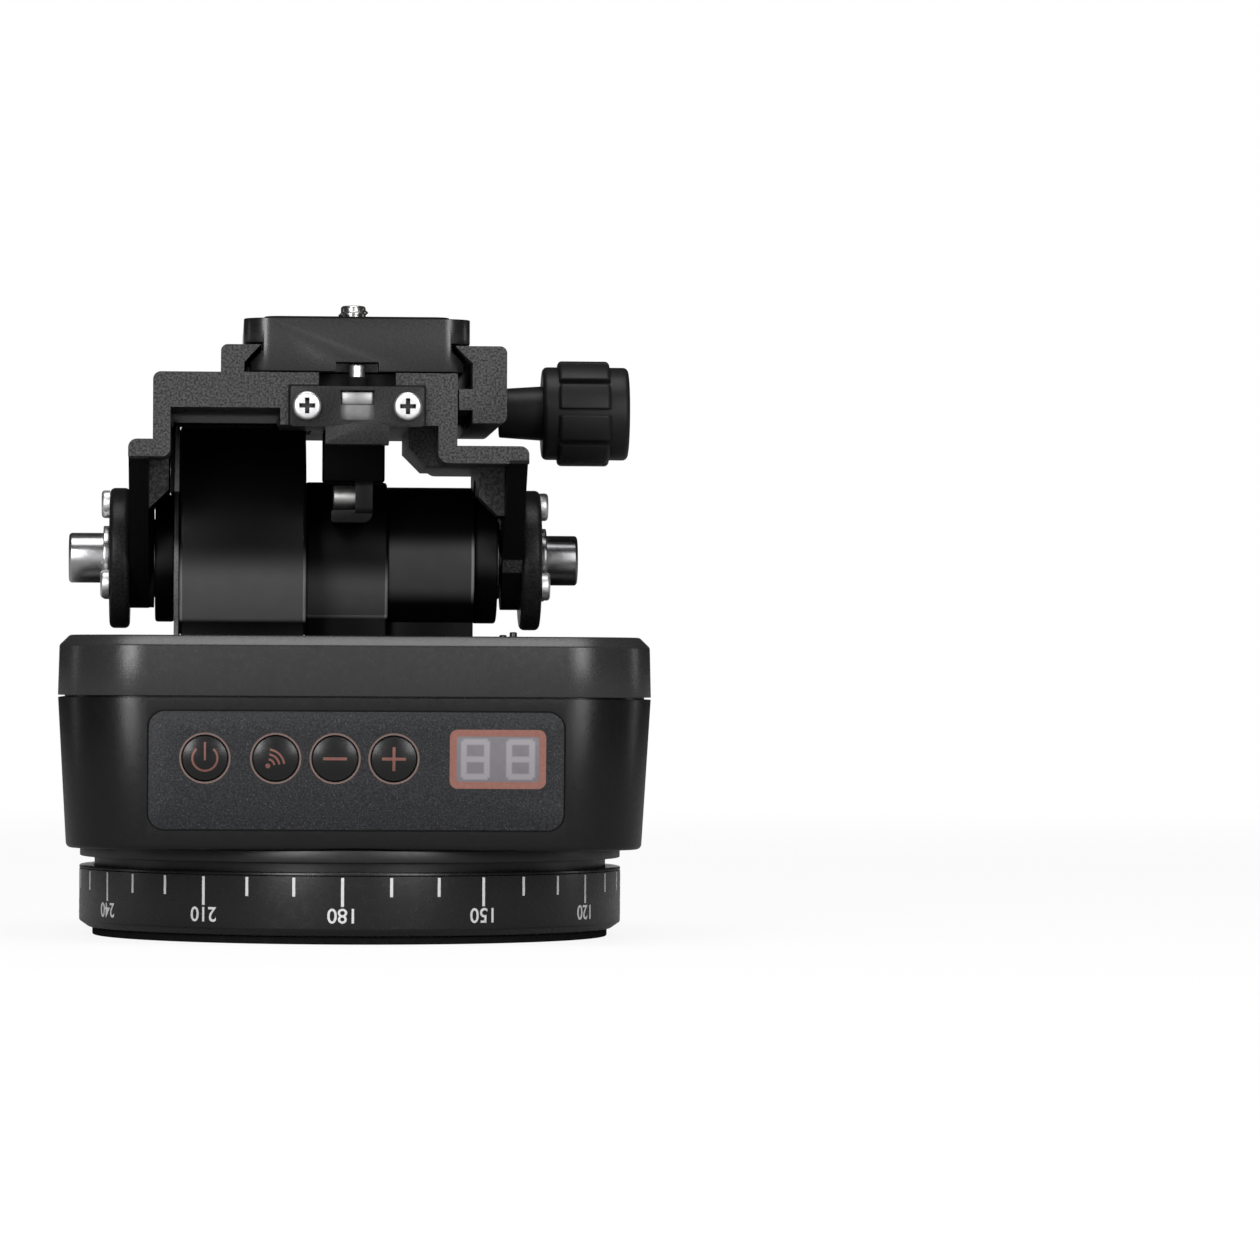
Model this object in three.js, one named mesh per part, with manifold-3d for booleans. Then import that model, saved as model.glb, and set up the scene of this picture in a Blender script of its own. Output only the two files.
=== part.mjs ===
// Remote pan and tilt head for a small camera.
// Millimetres, +Z up. The origin is on the pan axis, at the underside of the rubber foot.
// +X is to the operator's right when facing the control panel, and the panel faces -Y.
import * as THREE from 'three';
import { mergeVertices } from 'three/addons/utils/BufferGeometryUtils.js';
import Module from 'manifold-3d';

const wasm = await Module();
wasm.setup();

// Fits that every piece shares
const fitGap = 0.3;
const stackGap = 0.05;
const cutOverrun = 1;
const weldDistance = 0.0005;
const ringFacets = 40;
const shaftFacets = 20;
const screwFacets = 10;
const cornerFacets = 4;

// Rubber foot and fixed base ring with the degree scale
const footInset = 2.8;
const footThickness = 1.6;
const footHoleRadius = 12;
const ringRadius = 57.5;
const ringWall = 2.9;
const ringHeight = 13.2;
const ringChamferWidth = 2;
const ringChamferHeight = 1.4;
const ringFloor = 4;
const postRadius = 11.7;
const postShoulder = 2.3;
const postShoulderHeight = 6.8;

// Tripod bush pressed into the post
const bushRadius = 9;
const bushThreadRadius = 4.8;
const bushThreadDepth = 13;
const bushRecess = 0.6;
const bushCap = 1.6;

// Bearing and turntable that carry the housing
const bearingRadius = 17;
const bearingHeight = 5.5;
const neckWall = 3;
const neckDrop = 2.9;
const neckShown = 1.9;
const bandInset = 0.1;
const bandThickness = 2.7;
const bearingLip = 1.2;
const bearingLipWidth = 2.8;
const turntableHub = 3;

// Fixed pan gear and the pan motor's pinion
const panGearRadius = 20;
const panGearTeeth = 40;
const panPinionTeeth = 12;
const panGearFace = 4;
const panGearHub = 14;
const panGearLift = 0.5;
const panMotorRadius = 12;
const panMotorLength = 19;
const panFlangeRadius = 14;
const panFlangeThickness = 2;
const panFlangeLift = 1.1;
const panBossRadius = 2.4;
const panBossSpread = 11;
const panBossSetback = 4;
const motorShaftRadius = 1.5;
const motorShaftSeat = 4;

// Housing: two plastic shells, square with round corners
const housingWidth = 122.5;
const housingDepth = 118;
const housingCorner = 18.5;
const housingHeight = 31.4;
const housingDraft = 1.8;
const housingWall = 2.6;
const housingFloor = 2;
const seamGap = 0.4;
const lipThickness = 1.2;
const lipHeight = 3;
const coverHeight = 12.4;
const coverTopWall = 3;
const coverChamferWidth = 2;
const coverChamferHeight = 2.2;
const coverDraft = 0.3;
const cablePegRadius = 0.8;
const cablePegSpacing = 2.2;
const cablePegInset = 3.3;
const lowPegHeight = 0.7;
const highPegHeight = 1.3;

// Control panel on the front of the lower shell, with its buttons and display
const panelWidth = 84.8;
const panelHeight = 24.2;
const panelDrop = 3.1;
const panelCorner = 3.4;
const panelThickness = 0.6;
const buttonRadius = 4.5;
const buttonProud = 0.6;
const buttonCrown = 0.5;
const buttonLength = 5;
const buttonFlange = 1.2;
const buttonTravel = 0.5;
const buttonRowDrop = 9.6;
const powerButtonX = -30.9;
const channelButtonX = -16.5;
const minusButtonX = -4.4;
const plusButtonX = 7.6;
const boardThickness = 1.6;
const buttonBoardHeight = 11;
const buttonBoardMargin = 9.2;
const switchSize = 5;
const switchHeight = 2;
const pegRadius = 1.4;
const windowLeft = 19.9;
const windowWidth = 17.9;
const windowHeight = 10.5;
const windowThickness = 1.2;
const displayDepth = 6;
const displayMargin = 0.8;

// What the housing holds
const batteryLength = 66;
const batteryWidth = 18;
const batteryHeight = 18.6;
const batteryCorner = 7;
const batteryClearance = 3;
const mainBoardLength = 70;
const mainBoardHeight = 22;
const mainBoardInset = 9;
const boardGuideWall = 1.6;
const boardGuideDepth = 5;
const boardGuideHeight = 6;
const boardGuideSpread = 30;
const boardPartHeight = 3.5;
const boardPartSize = 14;
const socketPlace = 24;
const socketLift = 12;
const socketRadius = 4.6;
const socketBore = 2.8;
const socketLength = 11;
const socketPinRadius = 0.9;
const socketWall = 2;

// Tilt drive on top of the housing, along the tilt axis from left to right
const tiltAxisHeight = 16.6;
const caseLeft = -36.6;
const caseWidth = 26.6;
const caseRadius = 28.2;
const caseWall = 2;
const casePlinth = 2.8;
const caseCoverThickness = 1;
const middleRadius = 16.4;
const middleWidth = 17.4;
const middlePlinth = 4.6;
const motorShellRadius = 15.4;
const motorShellWidth = 18.2;
const motorShellWall = 2.2;
const motorPlinth = 3.2;
const tiltMotorRadius = 12.7;
const tiltMotorLength = 29.6;
const collarRadius = 13.5;
const leftCollarWidth = 4.1;
const rightCollarWidth = 5;
const tiltBearingRadius = 10;
const spacerRadius = 8.3;

// Tilt gears inside the round gear case
const tiltModule = 0.7;
const pinionTeeth = 12;
const wheelTeeth = 28;
const gearFace = 4;
const gearSpacing = 2.6;
const outputHubRadius = 8;
const outputHubLength = 3;
const axleRadius = 2;
const axleLength = 24.6;

// Spur gear tooth form, as shares of the module and of the tooth pitch
const addendumShare = 0.9;
const dedendumShare = 1.25;
const tipWidthShare = 0.2;
const rootWidthShare = 0.52;

// Cradle: the tilting yoke that carries the camera plate
const armThickness = 4;
const leftArmGap = 1.3;
const rightArmGap = 1;
const lugRadius = 10.6;
const armRootHalf = 41;
const cradleLength = 90;
const cradleTopHeight = 37.7;
const cradleLeft = -42;
const cradleRight = 20.7;
const leftWall = 3.6;
const rightWall = 3.9;
const topWall = 7.3;
const spineWall = 10.8;
const spineLeft = -15.8;
const shoulderWall = 3.6;
const leftShoulderDrop = 13.9;
const rightShoulderDrop = 14.9;
const shoulderCorner = 1.8;
const cradleCorner = 1.6;
const innerCorner = 2.2;
const gussetHalf = 22;
const leftGussetReach = 4.2;
const rightGussetReach = 5.5;
const gussetDrop = 6.2;
const gussetSlope = 4;
const clampBlockLeft = 11.2;
const clampBlockHalf = 25;
const clampBlockSlope = 3.9;
const turnClearance = 1;
const fixedJawWidth = 4.8;
const fixedJawHeight = 5.7;
const fixedJawPlace = -28.1;
const jawToothHeight = 3.6;
const jawToothReach = 3.4;
const jawCorner = 1.4;

// Shaft stubs, flange discs and their screws
const stubRadius = 5.3;
const stubChamfer = 0.7;
const leftStubLength = 7.3;
const rightStubLength = 6.7;
const stubFlangeRadius = 6.8;
const stubFlangeThickness = 1.3;
const rightShaftInner = 4.6;
const discRadius = 14.9;
const discThickness = 4.3;
const discEdge = 1;
const discScrewCircle = 11.4;
const screwHeadRadius = 2.95;
const screwHeadHeight = 1.8;
const screwCrown = 0.7;
const screwShankRadius = 1.3;
const screwShankLength = 6.5;
const discScrewCount = 3;

// Lock cover on the cradle's front, with the safety pin, its slider and spring
const lockCoverWidth = 27.5;
const lockCoverTop = 2.9;
const lockCoverHeight = 8.3;
const lockStemWidth = 13.1;
const lockStemDrop = 3.6;
const lockCoverThickness = 2.2;
const lockShelfThickness = 1.5;
const lockSlotWidth = 15.7;
const lockSlotDepth = 6;
const lockWindowWidth = 7;
const lockWindowHeight = 6.1;
const lockWindowRise = 1.4;
const lockScrewPlace = 10.35;
const lockScrewDrop = 4.1;
const lockTravel = 3;
const lipDepth = 1.2;
const lockPinRadius = 1.6;
const lockPinTop = 1.8;
const lockPinSeat = 2.1;
const lockPinCrown = 0.4;
const springRadius = 1.7;
const springWire = 0.5;
const springSeat = 7;

// Tilt stop: a block under the cradle and a pin on the tilt drive
const stopBlockWidth = 13.1;
const stopBlockFront = 14;
const stopBlockDepth = 8;
const stopBlockBottom = 16.1;
const stopPinRadius = 2.5;
const stopPinFront = 23.5;
const stopPinRise = 12.5;
const stopPinLeft = -4.5;
const stopPinLength = 4.6;
const bracketThickness = 3.6;
const bracketHeight = 7.4;
const bracketCorner = 1.6;

// Quick release plate, its rubber pad and the camera screw
const plateLength = 88;
const plateHalf = 23.4;
const plateFootHalf = 22;
const plateWaistHalf = 19.5;
const plateHeight = 11;
const plateFootHeight = 1.8;
const plateWaistHeight = 5.9;
const plateWaistRise = 4.3;
const plateCorner = 5.5;
const plateEdge = 0.5;
const plateNotchWidth = 8.8;
const plateNotchHeight = 1.9;
const plateNotchDepth = 5.4;
const padInset = 4.2;
const padThickness = 1.4;
const padRecess = 0.8;
const cameraScrewRadius = 3.175;
const cameraScrewProud = 4.4;
const cameraScrewTip = 0.6;
const cameraHeadRadius = 7.5;
const cameraHeadThickness = 3.2;
const cameraHeadRecess = 0.6;

// Moving jaw with its clamp knob and screw
const jawTongueGap = 0.3;
const jawTongueTop = 3.2;
const jawTongueHeight = 4.3;
const jawInner = 23.85;
const jawOuter = 30.9;
const jawBottom = 10.2;
const knobDrop = 6.3;
const neckRootRadius = 5.2;
const neckEndRadius = 5.8;
const neckLength = 9.1;
const knobRadius = 9.9;
const knobLength = 18.4;
const knobEdge = 1.1;
const gripRadius = 11.2;
const gripStart = 3.3;
const gripLength = 11;
const gripEdge = 0.9;
const gripCount = 10;
const gripGroove = 1.3;
const clampScrewRadius = 3;
const clampScrewReach = 11;
const clampScrewSeat = 12;

// Radii of the base, from the ring inwards
const ringInner = ringRadius - ringWall;
const neckRadius = ringInner - fitGap;
const bandRadius = ringRadius - bandInset;
const footRadius = ringRadius - footInset;

// Levels along Z, from the ground up
const ringBottomZ = footThickness + stackGap;
const ringTopZ = footThickness + ringHeight;
const ringFloorZ = ringBottomZ + ringFloor;
const shoulderZ = ringFloorZ + postShoulderHeight;
const bandBottomZ = ringTopZ + neckShown;
const bandTopZ = bandBottomZ + bandThickness;
const floorZ = bandTopZ + housingFloor;
const panGearZ = floorZ + panGearLift;
const postTopZ = panGearZ + panGearFace + stackGap;
const seamZ = bandTopZ + housingHeight;
const coverTopZ = seamZ + coverHeight;
const tiltAxisZ = coverTopZ + tiltAxisHeight;
const cradleTopZ = tiltAxisZ + cradleTopHeight;
const plateZ = cradleTopZ + fitGap;
const plateTopZ = plateZ + plateHeight;
const knobZ = cradleTopZ - knobDrop;

// Places along X, from the gear case outwards
const caseRight = caseLeft + caseWidth;
const middleRight = caseRight + middleWidth;
const motorShellRight = middleRight + motorShellWidth;
const caseCoverLeft = caseLeft - stackGap - caseCoverThickness;
const leftCollarLeft = caseCoverLeft - leftCollarWidth;
const rightCollarRight = motorShellRight + rightCollarWidth;
const leftArmInner = leftCollarLeft - leftArmGap;
const leftArmOuter = leftArmInner - armThickness;
const rightArmInner = rightCollarRight + rightArmGap;
const rightArmOuter = rightArmInner + armThickness;
const cradleFront = -cradleLength / 2;
const cradleBack = cradleLength / 2;
const plateFront = -plateLength / 2;

const colours = {
  blackPlastic: { color: 0x1c1c1d, roughness: 0.38, metalness: 0 },
  panelFilm: { color: 0x1f242b, roughness: 0.6, metalness: 0 },
  rubber: { color: 0x141414, roughness: 0.85, metalness: 0 },
  cradleMetal: { color: 0x333334, roughness: 0.55, metalness: 0.4 },
  plateMetal: { color: 0x3a3a3a, roughness: 0.4, metalness: 0.5 },
  chrome: { color: 0xd9d9d9, roughness: 0.12, metalness: 1 },
  steel: { color: 0x9a9a98, roughness: 0.3, metalness: 1 },
  brass: { color: 0xb08d57, roughness: 0.35, metalness: 1 },
  smokedWindow: { color: 0x9aa0ac, roughness: 0.3, metalness: 0 },
  circuitBoard: { color: 0x1d5a35, roughness: 0.5, metalness: 0 },
  cellWrap: { color: 0x2b5f9e, roughness: 0.4, metalness: 0 },
  whitePlastic: { color: 0xd8d6cf, roughness: 0.5, metalness: 0 },
};

const materials = {};
for (const [name, values] of Object.entries(colours)) {
  materials[name] = new THREE.MeshStandardMaterial(values);
}

// Closed geometry to solid, dropping the flat triangles where a profile meets its axis
function toSolid(geometry) {
  const bare = geometry.clone();
  bare.deleteAttribute('normal');
  bare.deleteAttribute('uv');
  const merged = mergeVertices(bare, weldDistance);
  const corners = merged.index.array;
  const kept = [];
  for (let i = 0; i < corners.length; i += 3) {
    const [a, b, c] = [corners[i], corners[i + 1], corners[i + 2]];
    if (a !== b && b !== c && c !== a) kept.push(a, b, c);
  }
  const vertProperties = merged.attributes.position.array;
  const triVerts = new Uint32Array(kept);
  return new wasm.Manifold(new wasm.Mesh({ numProp: 3, vertProperties, triVerts }));
}

function toGeometry(solid) {
  const mesh = solid.getMesh();
  const indexed = new THREE.BufferGeometry();
  indexed.setAttribute('position', new THREE.BufferAttribute(mesh.vertProperties, mesh.numProp));
  indexed.setIndex(new THREE.BufferAttribute(mesh.triVerts, 1));
  const geometry = indexed.toNonIndexed();
  geometry.computeVertexNormals();
  return geometry;
}

function join(...shapes) {
  return toGeometry(shapes.map(toSolid).reduce((whole, next) => whole.add(next)));
}

function cut(shape, ...cutters) {
  return toGeometry(cutters.map(toSolid).reduce((rest, next) => rest.subtract(next), toSolid(shape)));
}

function common(shape, other) {
  return toGeometry(toSolid(shape).intersect(toSolid(other)));
}

const sides = [-1, 1];
const xAxis = new THREE.Vector3(1, 0, 0);
const yAxis = new THREE.Vector3(0, 1, 0);
const zAxis = new THREE.Vector3(0, 0, 1);
const minusY = new THREE.Vector3(0, -1, 0);

function turnAxes(geometry, newX, newY, newZ) {
  return geometry.applyMatrix4(new THREE.Matrix4().makeBasis(newX, newY, newZ));
}

// Box between two opposite corners
function block(x0, x1, y0, y1, z0, z1) {
  const geometry = new THREE.BoxGeometry(x1 - x0, y1 - y0, z1 - z0);
  return geometry.translate((x0 + x1) / 2, (y0 + y1) / 2, (z0 + z1) / 2);
}

// Turned shape from [radius, height] points that run anticlockwise round the section
function lathed(section, facets) {
  const points = section.map(([radius, height]) => new THREE.Vector2(radius, height));
  const open = section[0][0] === 0 && section[section.length - 1][0] === 0;
  if (!open) points.push(points[0].clone());
  return new THREE.LatheGeometry(points, facets);
}

function turnedUp(section, facets = shaftFacets) {
  return turnAxes(lathed(section, facets), yAxis, zAxis, xAxis);
}

// The same round an axis along X through (y, z)
function turnedAcross(section, facets = shaftFacets, y = 0, z = tiltAxisZ) {
  return turnAxes(lathed(section, facets), zAxis, xAxis, yAxis).translate(0, y, z);
}

// The same along Y through (x, z), its heights counted from the back to the front
function turnedForward(section, facets, x, y, z) {
  return turnAxes(lathed(section, facets), zAxis, minusY, xAxis).translate(x, y, z);
}

function rod(radius, from, to) {
  return [[0, from], [radius, from], [radius, to], [0, to]];
}

function tube(inner, outer, from, to) {
  return [[inner, from], [outer, from], [outer, to], [inner, to]];
}

// Outline whose points are [x, y] or [x, y, corner radius]
function outline(corners) {
  const shape = new THREE.Shape();
  corners.forEach(([x, y, radius = 0], i) => {
    const here = new THREE.Vector2(x, y);
    const [px, py] = corners[(i + corners.length - 1) % corners.length];
    const [nx, ny] = corners[(i + 1) % corners.length];
    const before = new THREE.Vector2(px, py).sub(here).setLength(radius).add(here);
    const after = new THREE.Vector2(nx, ny).sub(here).setLength(radius).add(here);
    if (i === 0) shape.moveTo(before.x, before.y);
    else shape.lineTo(before.x, before.y);
    if (radius > 0) shape.quadraticCurveTo(x, y, after.x, after.y);
  });
  shape.closePath();
  return shape;
}

function roundedRectangle(width, height, radius) {
  const [w, h] = [width / 2, height / 2];
  const shape = new THREE.Shape();
  const quarter = Math.PI / 2;
  shape.absarc(w - radius, h - radius, radius, 0, quarter);
  shape.absarc(radius - w, h - radius, radius, quarter, 2 * quarter);
  shape.absarc(radius - w, radius - h, radius, 2 * quarter, 3 * quarter);
  shape.absarc(w - radius, radius - h, radius, 3 * quarter, 4 * quarter);
  return shape;
}

function extruded(shape, depth, curveSegments = cornerFacets) {
  return new THREE.ExtrudeGeometry(shape, { depth, bevelEnabled: false, curveSegments });
}

function prismUp(shape, z0, z1, curveSegments) {
  return extruded(shape, z1 - z0, curveSegments).translate(0, 0, z0);
}

function prismAcross(shape, x0, x1, curveSegments) {
  return turnAxes(extruded(shape, x1 - x0, curveSegments), yAxis, zAxis, xAxis).translate(x0, 0, 0);
}

function prismForward(shape, y0, y1, curveSegments) {
  return turnAxes(extruded(shape, y1 - y0, curveSegments), xAxis, zAxis, minusY).translate(0, y1, 0);
}

// Spur gear outline with one tooth at the given angle
function gearOutline(teeth, module, toothAngle) {
  const pitchRadius = teeth * module / 2;
  const tip = pitchRadius + addendumShare * module;
  const root = pitchRadius - dedendumShare * module;
  const pitch = 2 * Math.PI / teeth;
  const shape = new THREE.Shape();
  for (let i = 0; i < teeth; i += 1) {
    const middle = toothAngle + i * pitch;
    const flank = [
      [root, middle - rootWidthShare * pitch / 2],
      [tip, middle - tipWidthShare * pitch / 2],
      [tip, middle + tipWidthShare * pitch / 2],
      [root, middle + rootWidthShare * pitch / 2],
    ];
    for (const [radius, angle] of flank) {
      const point = [radius * Math.cos(angle), radius * Math.sin(angle)];
      if (shape.curves.length === 0 && shape.currentPoint.length() === 0) shape.moveTo(...point);
      else shape.lineTo(...point);
    }
  }
  shape.closePath();
  return shape;
}

const head = new THREE.Group();
head.name = 'pan_tilt_head';

function piece(name, geometry, material, group = head) {
  const mesh = new THREE.Mesh(geometry, material);
  mesh.name = name;
  group.add(mesh);
  return mesh;
}

// Rubber foot: a thin ring round the tripod hole
const foot = turnedUp(tube(footHoleRadius, footRadius, 0, footThickness), ringFacets);
piece('rubber_foot', foot, materials.rubber);

// Base ring: floor, scale wall and the central post in one casting
const shoulderRadius = postRadius + postShoulder;
const bushHole = bushRadius + fitGap;
const bushTopZ = bushRecess + bushThreadDepth + bushCap;
const baseRing = turnedUp([
  [bushHole, ringBottomZ],
  [ringRadius - ringChamferWidth, ringBottomZ],
  [ringRadius, ringBottomZ + ringChamferHeight],
  [ringRadius, ringTopZ],
  [ringInner, ringTopZ],
  [ringInner, ringFloorZ],
  [shoulderRadius, ringFloorZ],
  [shoulderRadius, shoulderZ],
  [postRadius, shoulderZ],
  [postRadius, postTopZ],
  [0, postTopZ],
  [0, bushTopZ + fitGap],
  [bushHole, bushTopZ + fitGap],
], ringFacets);
piece('base_ring', baseRing, materials.blackPlastic);

const bush = turnedUp([
  [bushThreadRadius, bushRecess],
  [bushRadius, bushRecess],
  [bushRadius, bushTopZ],
  [0, bushTopZ],
  [0, bushRecess + bushThreadDepth],
  [bushThreadRadius, bushRecess + bushThreadDepth],
]);
piece('tripod_bush', bush, materials.brass);

// Pan bearing on the post's shoulder
const bearingInner = postRadius + fitGap;
const bearingBottomZ = shoulderZ + stackGap;
const bearingTopZ = bearingBottomZ + bearingHeight;
const panBearing = turnedUp(tube(bearingInner, bearingRadius, bearingBottomZ, bearingTopZ));
piece('pan_bearing', panBearing, materials.steel);

// Fixed pan gear pressed on the post above the bearing
const panGearBore = postRadius + fitGap;
const panModule = 2 * panGearRadius / panGearTeeth;
const panCentre = panGearRadius + panModule * panPinionTeeth / 2;
const panGear = cut(
  join(
    prismUp(gearOutline(panGearTeeth, panModule, Math.PI / 2), panGearZ, panGearZ + panGearFace),
    turnedUp(rod(panGearHub, bearingTopZ + fitGap, panGearZ + panGearFace / 2)),
  ),
  turnedUp(rod(panGearBore, bearingBottomZ, postTopZ + cutOverrun)),
);
piece('pan_gear', panGear, materials.steel);

// Turntable: carries the housing on the bearing and hides the joint with its band
const hubInner = bearingRadius + fitGap;
const hubOuter = hubInner + turntableHub;
const lipInner = hubInner - bearingLipWidth;
const turntableTopZ = bandTopZ - stackGap;
const turntable = turnedUp([
  [hubInner, shoulderZ],
  [hubOuter, shoulderZ],
  [hubOuter, bandBottomZ],
  [neckRadius - neckWall, bandBottomZ],
  [neckRadius - neckWall, ringTopZ - neckDrop],
  [neckRadius, ringTopZ - neckDrop],
  [neckRadius, bandBottomZ],
  [bandRadius, bandBottomZ],
  [bandRadius, turntableTopZ],
  [lipInner, turntableTopZ],
  [lipInner, bandTopZ - bearingLip],
  [hubInner, bandTopZ - bearingLip],
], ringFacets);
piece('turntable', turntable, materials.blackPlastic);

// Lower shell: drafted walls, floor with the bearing hole, and a lip for the cover
const housingBottomZ = bandTopZ;
const draftShare = 2 * housingDraft / housingWidth / housingHeight;

// Narrows a shape from the seam downwards, or upwards for the cover
function drafted(geometry, sharePerHeight) {
  const position = geometry.getAttribute('position');
  for (let i = 0; i < position.count; i += 1) {
    const size = 1 - sharePerHeight * Math.abs(position.getZ(i) - seamZ);
    position.setX(i, position.getX(i) * size);
    position.setY(i, position.getY(i) * size);
  }
  return geometry;
}

function housingPrism(inset, z0, z1) {
  const [width, depth] = [housingWidth - 2 * inset, housingDepth - 2 * inset];
  return prismUp(roundedRectangle(width, depth, housingCorner - inset), z0, z1);
}

// Frame of the drafted front wall: x across, y into the wall, z up along it
const frontLean = Math.atan(draftShare * housingDepth / 2);
const panelMiddleZ = seamZ - panelDrop - panelHeight / 2;
const panelMiddleY = -housingDepth / 2 * (1 - draftShare * (seamZ - panelMiddleZ));

function onFrontWall(geometry) {
  return geometry.rotateX(frontLean).translate(0, panelMiddleY, panelMiddleZ);
}

const buttonPlaces = {
  power: powerButtonX,
  channel: channelButtonX,
  minus: minusButtonX,
  plus: plusButtonX,
};
const buttonRow = panelHeight / 2 - buttonRowDrop;
const buttonHole = buttonRadius + fitGap;
const windowHalfHeight = windowHeight / 2;
const boardFace = buttonLength + buttonTravel + fitGap - buttonProud + switchHeight;
const boardLeft = buttonPlaces.power - buttonBoardMargin;
const boardRight = buttonPlaces.plus + buttonBoardMargin;
const boardPegs = [boardLeft + pegRadius, boardRight - pegRadius];

function buttonCutters() {
  return Object.values(buttonPlaces).map((x) => onFrontWall(
    turnedForward(rod(buttonHole, -housingWall - cutOverrun, cutOverrun), shaftFacets, x, 0, buttonRow),
  ));
}

function windowCutter(margin) {
  return onFrontWall(block(
    windowLeft - margin,
    windowLeft + windowWidth + margin,
    -cutOverrun,
    housingWall + cutOverrun,
    buttonRow - windowHalfHeight - margin,
    buttonRow + windowHalfHeight + margin,
  ));
}

const panelRecess = onFrontWall(prismForward(
  roundedRectangle(panelWidth + 2 * fitGap, panelHeight + 2 * fitGap, panelCorner + fitGap),
  -cutOverrun,
  panelThickness + fitGap,
));

const floorHole = panGearHub + fitGap;
const wallTopZ = seamZ - seamGap;
const panMotorZ = floorZ + panGearLift + panGearFace + panFlangeLift;
const mainBoardRight = housingWidth / 2 - mainBoardInset;
const mainBoardLeft = mainBoardRight - boardThickness;

// Room for the main board between its two guides
const mainBoardRoom = block(
  mainBoardLeft - fitGap,
  mainBoardRight + fitGap,
  -mainBoardLength / 2,
  mainBoardLength / 2,
  floorZ + stackGap,
  floorZ + mainBoardHeight,
);

const lowerParts = [
  cut(
    drafted(housingPrism(0, housingBottomZ, wallTopZ), draftShare),
    drafted(housingPrism(housingWall, floorZ, seamZ + cutOverrun), draftShare),
  ),
  cut(
    housingPrism(housingWall - lipThickness, wallTopZ - lipHeight, seamZ + lipHeight),
    housingPrism(housingWall, wallTopZ - lipHeight - cutOverrun, seamZ + lipHeight + cutOverrun),
    drafted(housingPrism(-cutOverrun, housingBottomZ, wallTopZ - cutOverrun), draftShare),
  ),
];
for (const side of sides) {
  const bossSection = rod(panBossRadius, floorZ - housingFloor / 2, panMotorZ - stackGap);
  const boss = turnedUp(bossSection, screwFacets);
  lowerParts.push(boss.translate(side * panBossSpread, panCentre + panBossSetback, 0));
  lowerParts.push(block(
    mainBoardLeft - fitGap - boardGuideWall,
    mainBoardRight + fitGap + boardGuideWall,
    side * boardGuideSpread - boardGuideDepth / 2,
    side * boardGuideSpread + boardGuideDepth / 2,
    floorZ - housingFloor / 2,
    floorZ + boardGuideHeight,
  ));
}
for (const x of boardPegs) {
  const peg = rod(pegRadius, stackGap - boardFace, -housingWall / 2 - panelThickness);
  lowerParts.push(onFrontWall(turnedForward(peg, screwFacets, x, 0, buttonRow)));
}
const socketZ = floorZ + socketLift;
const backWallY = housingDepth / 2 * (1 - draftShare * (seamZ - socketZ));
const lowerHousing = cut(
  join(...lowerParts),
  mainBoardRoom,
  panelRecess,
  windowCutter(fitGap),
  ...buttonCutters(),
  turnedUp(rod(floorHole, housingBottomZ - cutOverrun, floorZ + cutOverrun), ringFacets),
  turnedForward(
    rod(socketRadius + fitGap, -cutOverrun, 2 * housingWall),
    shaftFacets,
    socketPlace,
    backWallY,
    socketZ,
  ),
);
piece('lower_housing', lowerHousing, materials.blackPlastic);

// Upper cover: a shallow lid with a chamfered rim, stepped inside to pass the lip
const coverDraftShare = 2 * coverDraft / housingWidth / coverHeight;
const rimZ = coverTopZ - coverChamferHeight;

// Slab whose outline draws in by a chamfer between two levels
function chamferedSlab(inset, chamfer, z0, z1) {
  const slab = housingPrism(inset, z0, z1);
  const position = slab.getAttribute('position');
  const middle = (z0 + z1) / 2;
  const widthShare = 1 - chamfer / (housingWidth / 2 - inset);
  const depthShare = 1 - chamfer / (housingDepth / 2 - inset);
  for (let i = 0; i < position.count; i += 1) {
    if (position.getZ(i) > middle) {
      position.setX(i, position.getX(i) * widthShare);
      position.setY(i, position.getY(i) * depthShare);
    }
  }
  return slab;
}

const coverSolid = join(
  drafted(housingPrism(0, seamZ, rimZ), coverDraftShare),
  chamferedSlab(coverDraft, coverChamferWidth, rimZ, coverTopZ),
);

const pegX = rightArmInner + cablePegInset - cablePegSpacing / 2;
const cablePeg = (height) => turnedUp(rod(cablePegRadius, rimZ, coverTopZ + height), screwFacets);
const upperCover = cut(
  join(
    coverSolid,
    cablePeg(lowPegHeight).translate(pegX - cablePegSpacing / 2, 0, 0),
    cablePeg(highPegHeight).translate(pegX + cablePegSpacing / 2, 0, 0),
  ),
  housingPrism(housingWall + coverDraft, seamZ - cutOverrun, coverTopZ - coverTopWall),
  housingPrism(housingWall - lipThickness - fitGap, seamZ - cutOverrun, seamZ + lipHeight + fitGap),
);
piece('upper_cover', upperCover, materials.blackPlastic);

// Control panel film in its recess, with holes for the buttons and the window
const panel = new THREE.Group();
panel.name = 'front_wall';
panel.position.set(0, panelMiddleY, panelMiddleZ);
panel.rotation.x = frontLean;
head.add(panel);

function buttonHoles(radius, front, back) {
  return Object.values(buttonPlaces).map(
    (x) => turnedForward(rod(radius, -back, -front), shaftFacets, x, 0, buttonRow),
  );
}

const film = cut(
  prismForward(roundedRectangle(panelWidth, panelHeight, panelCorner), 0, panelThickness),
  ...buttonHoles(buttonHole, -cutOverrun, panelThickness + cutOverrun),
  block(
    windowLeft - fitGap,
    windowLeft + windowWidth + fitGap,
    -cutOverrun,
    panelThickness + cutOverrun,
    buttonRow - windowHalfHeight - fitGap,
    buttonRow + windowHalfHeight + fitGap,
  ),
);
piece('control_panel', film, materials.panelFilm, panel);

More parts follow.
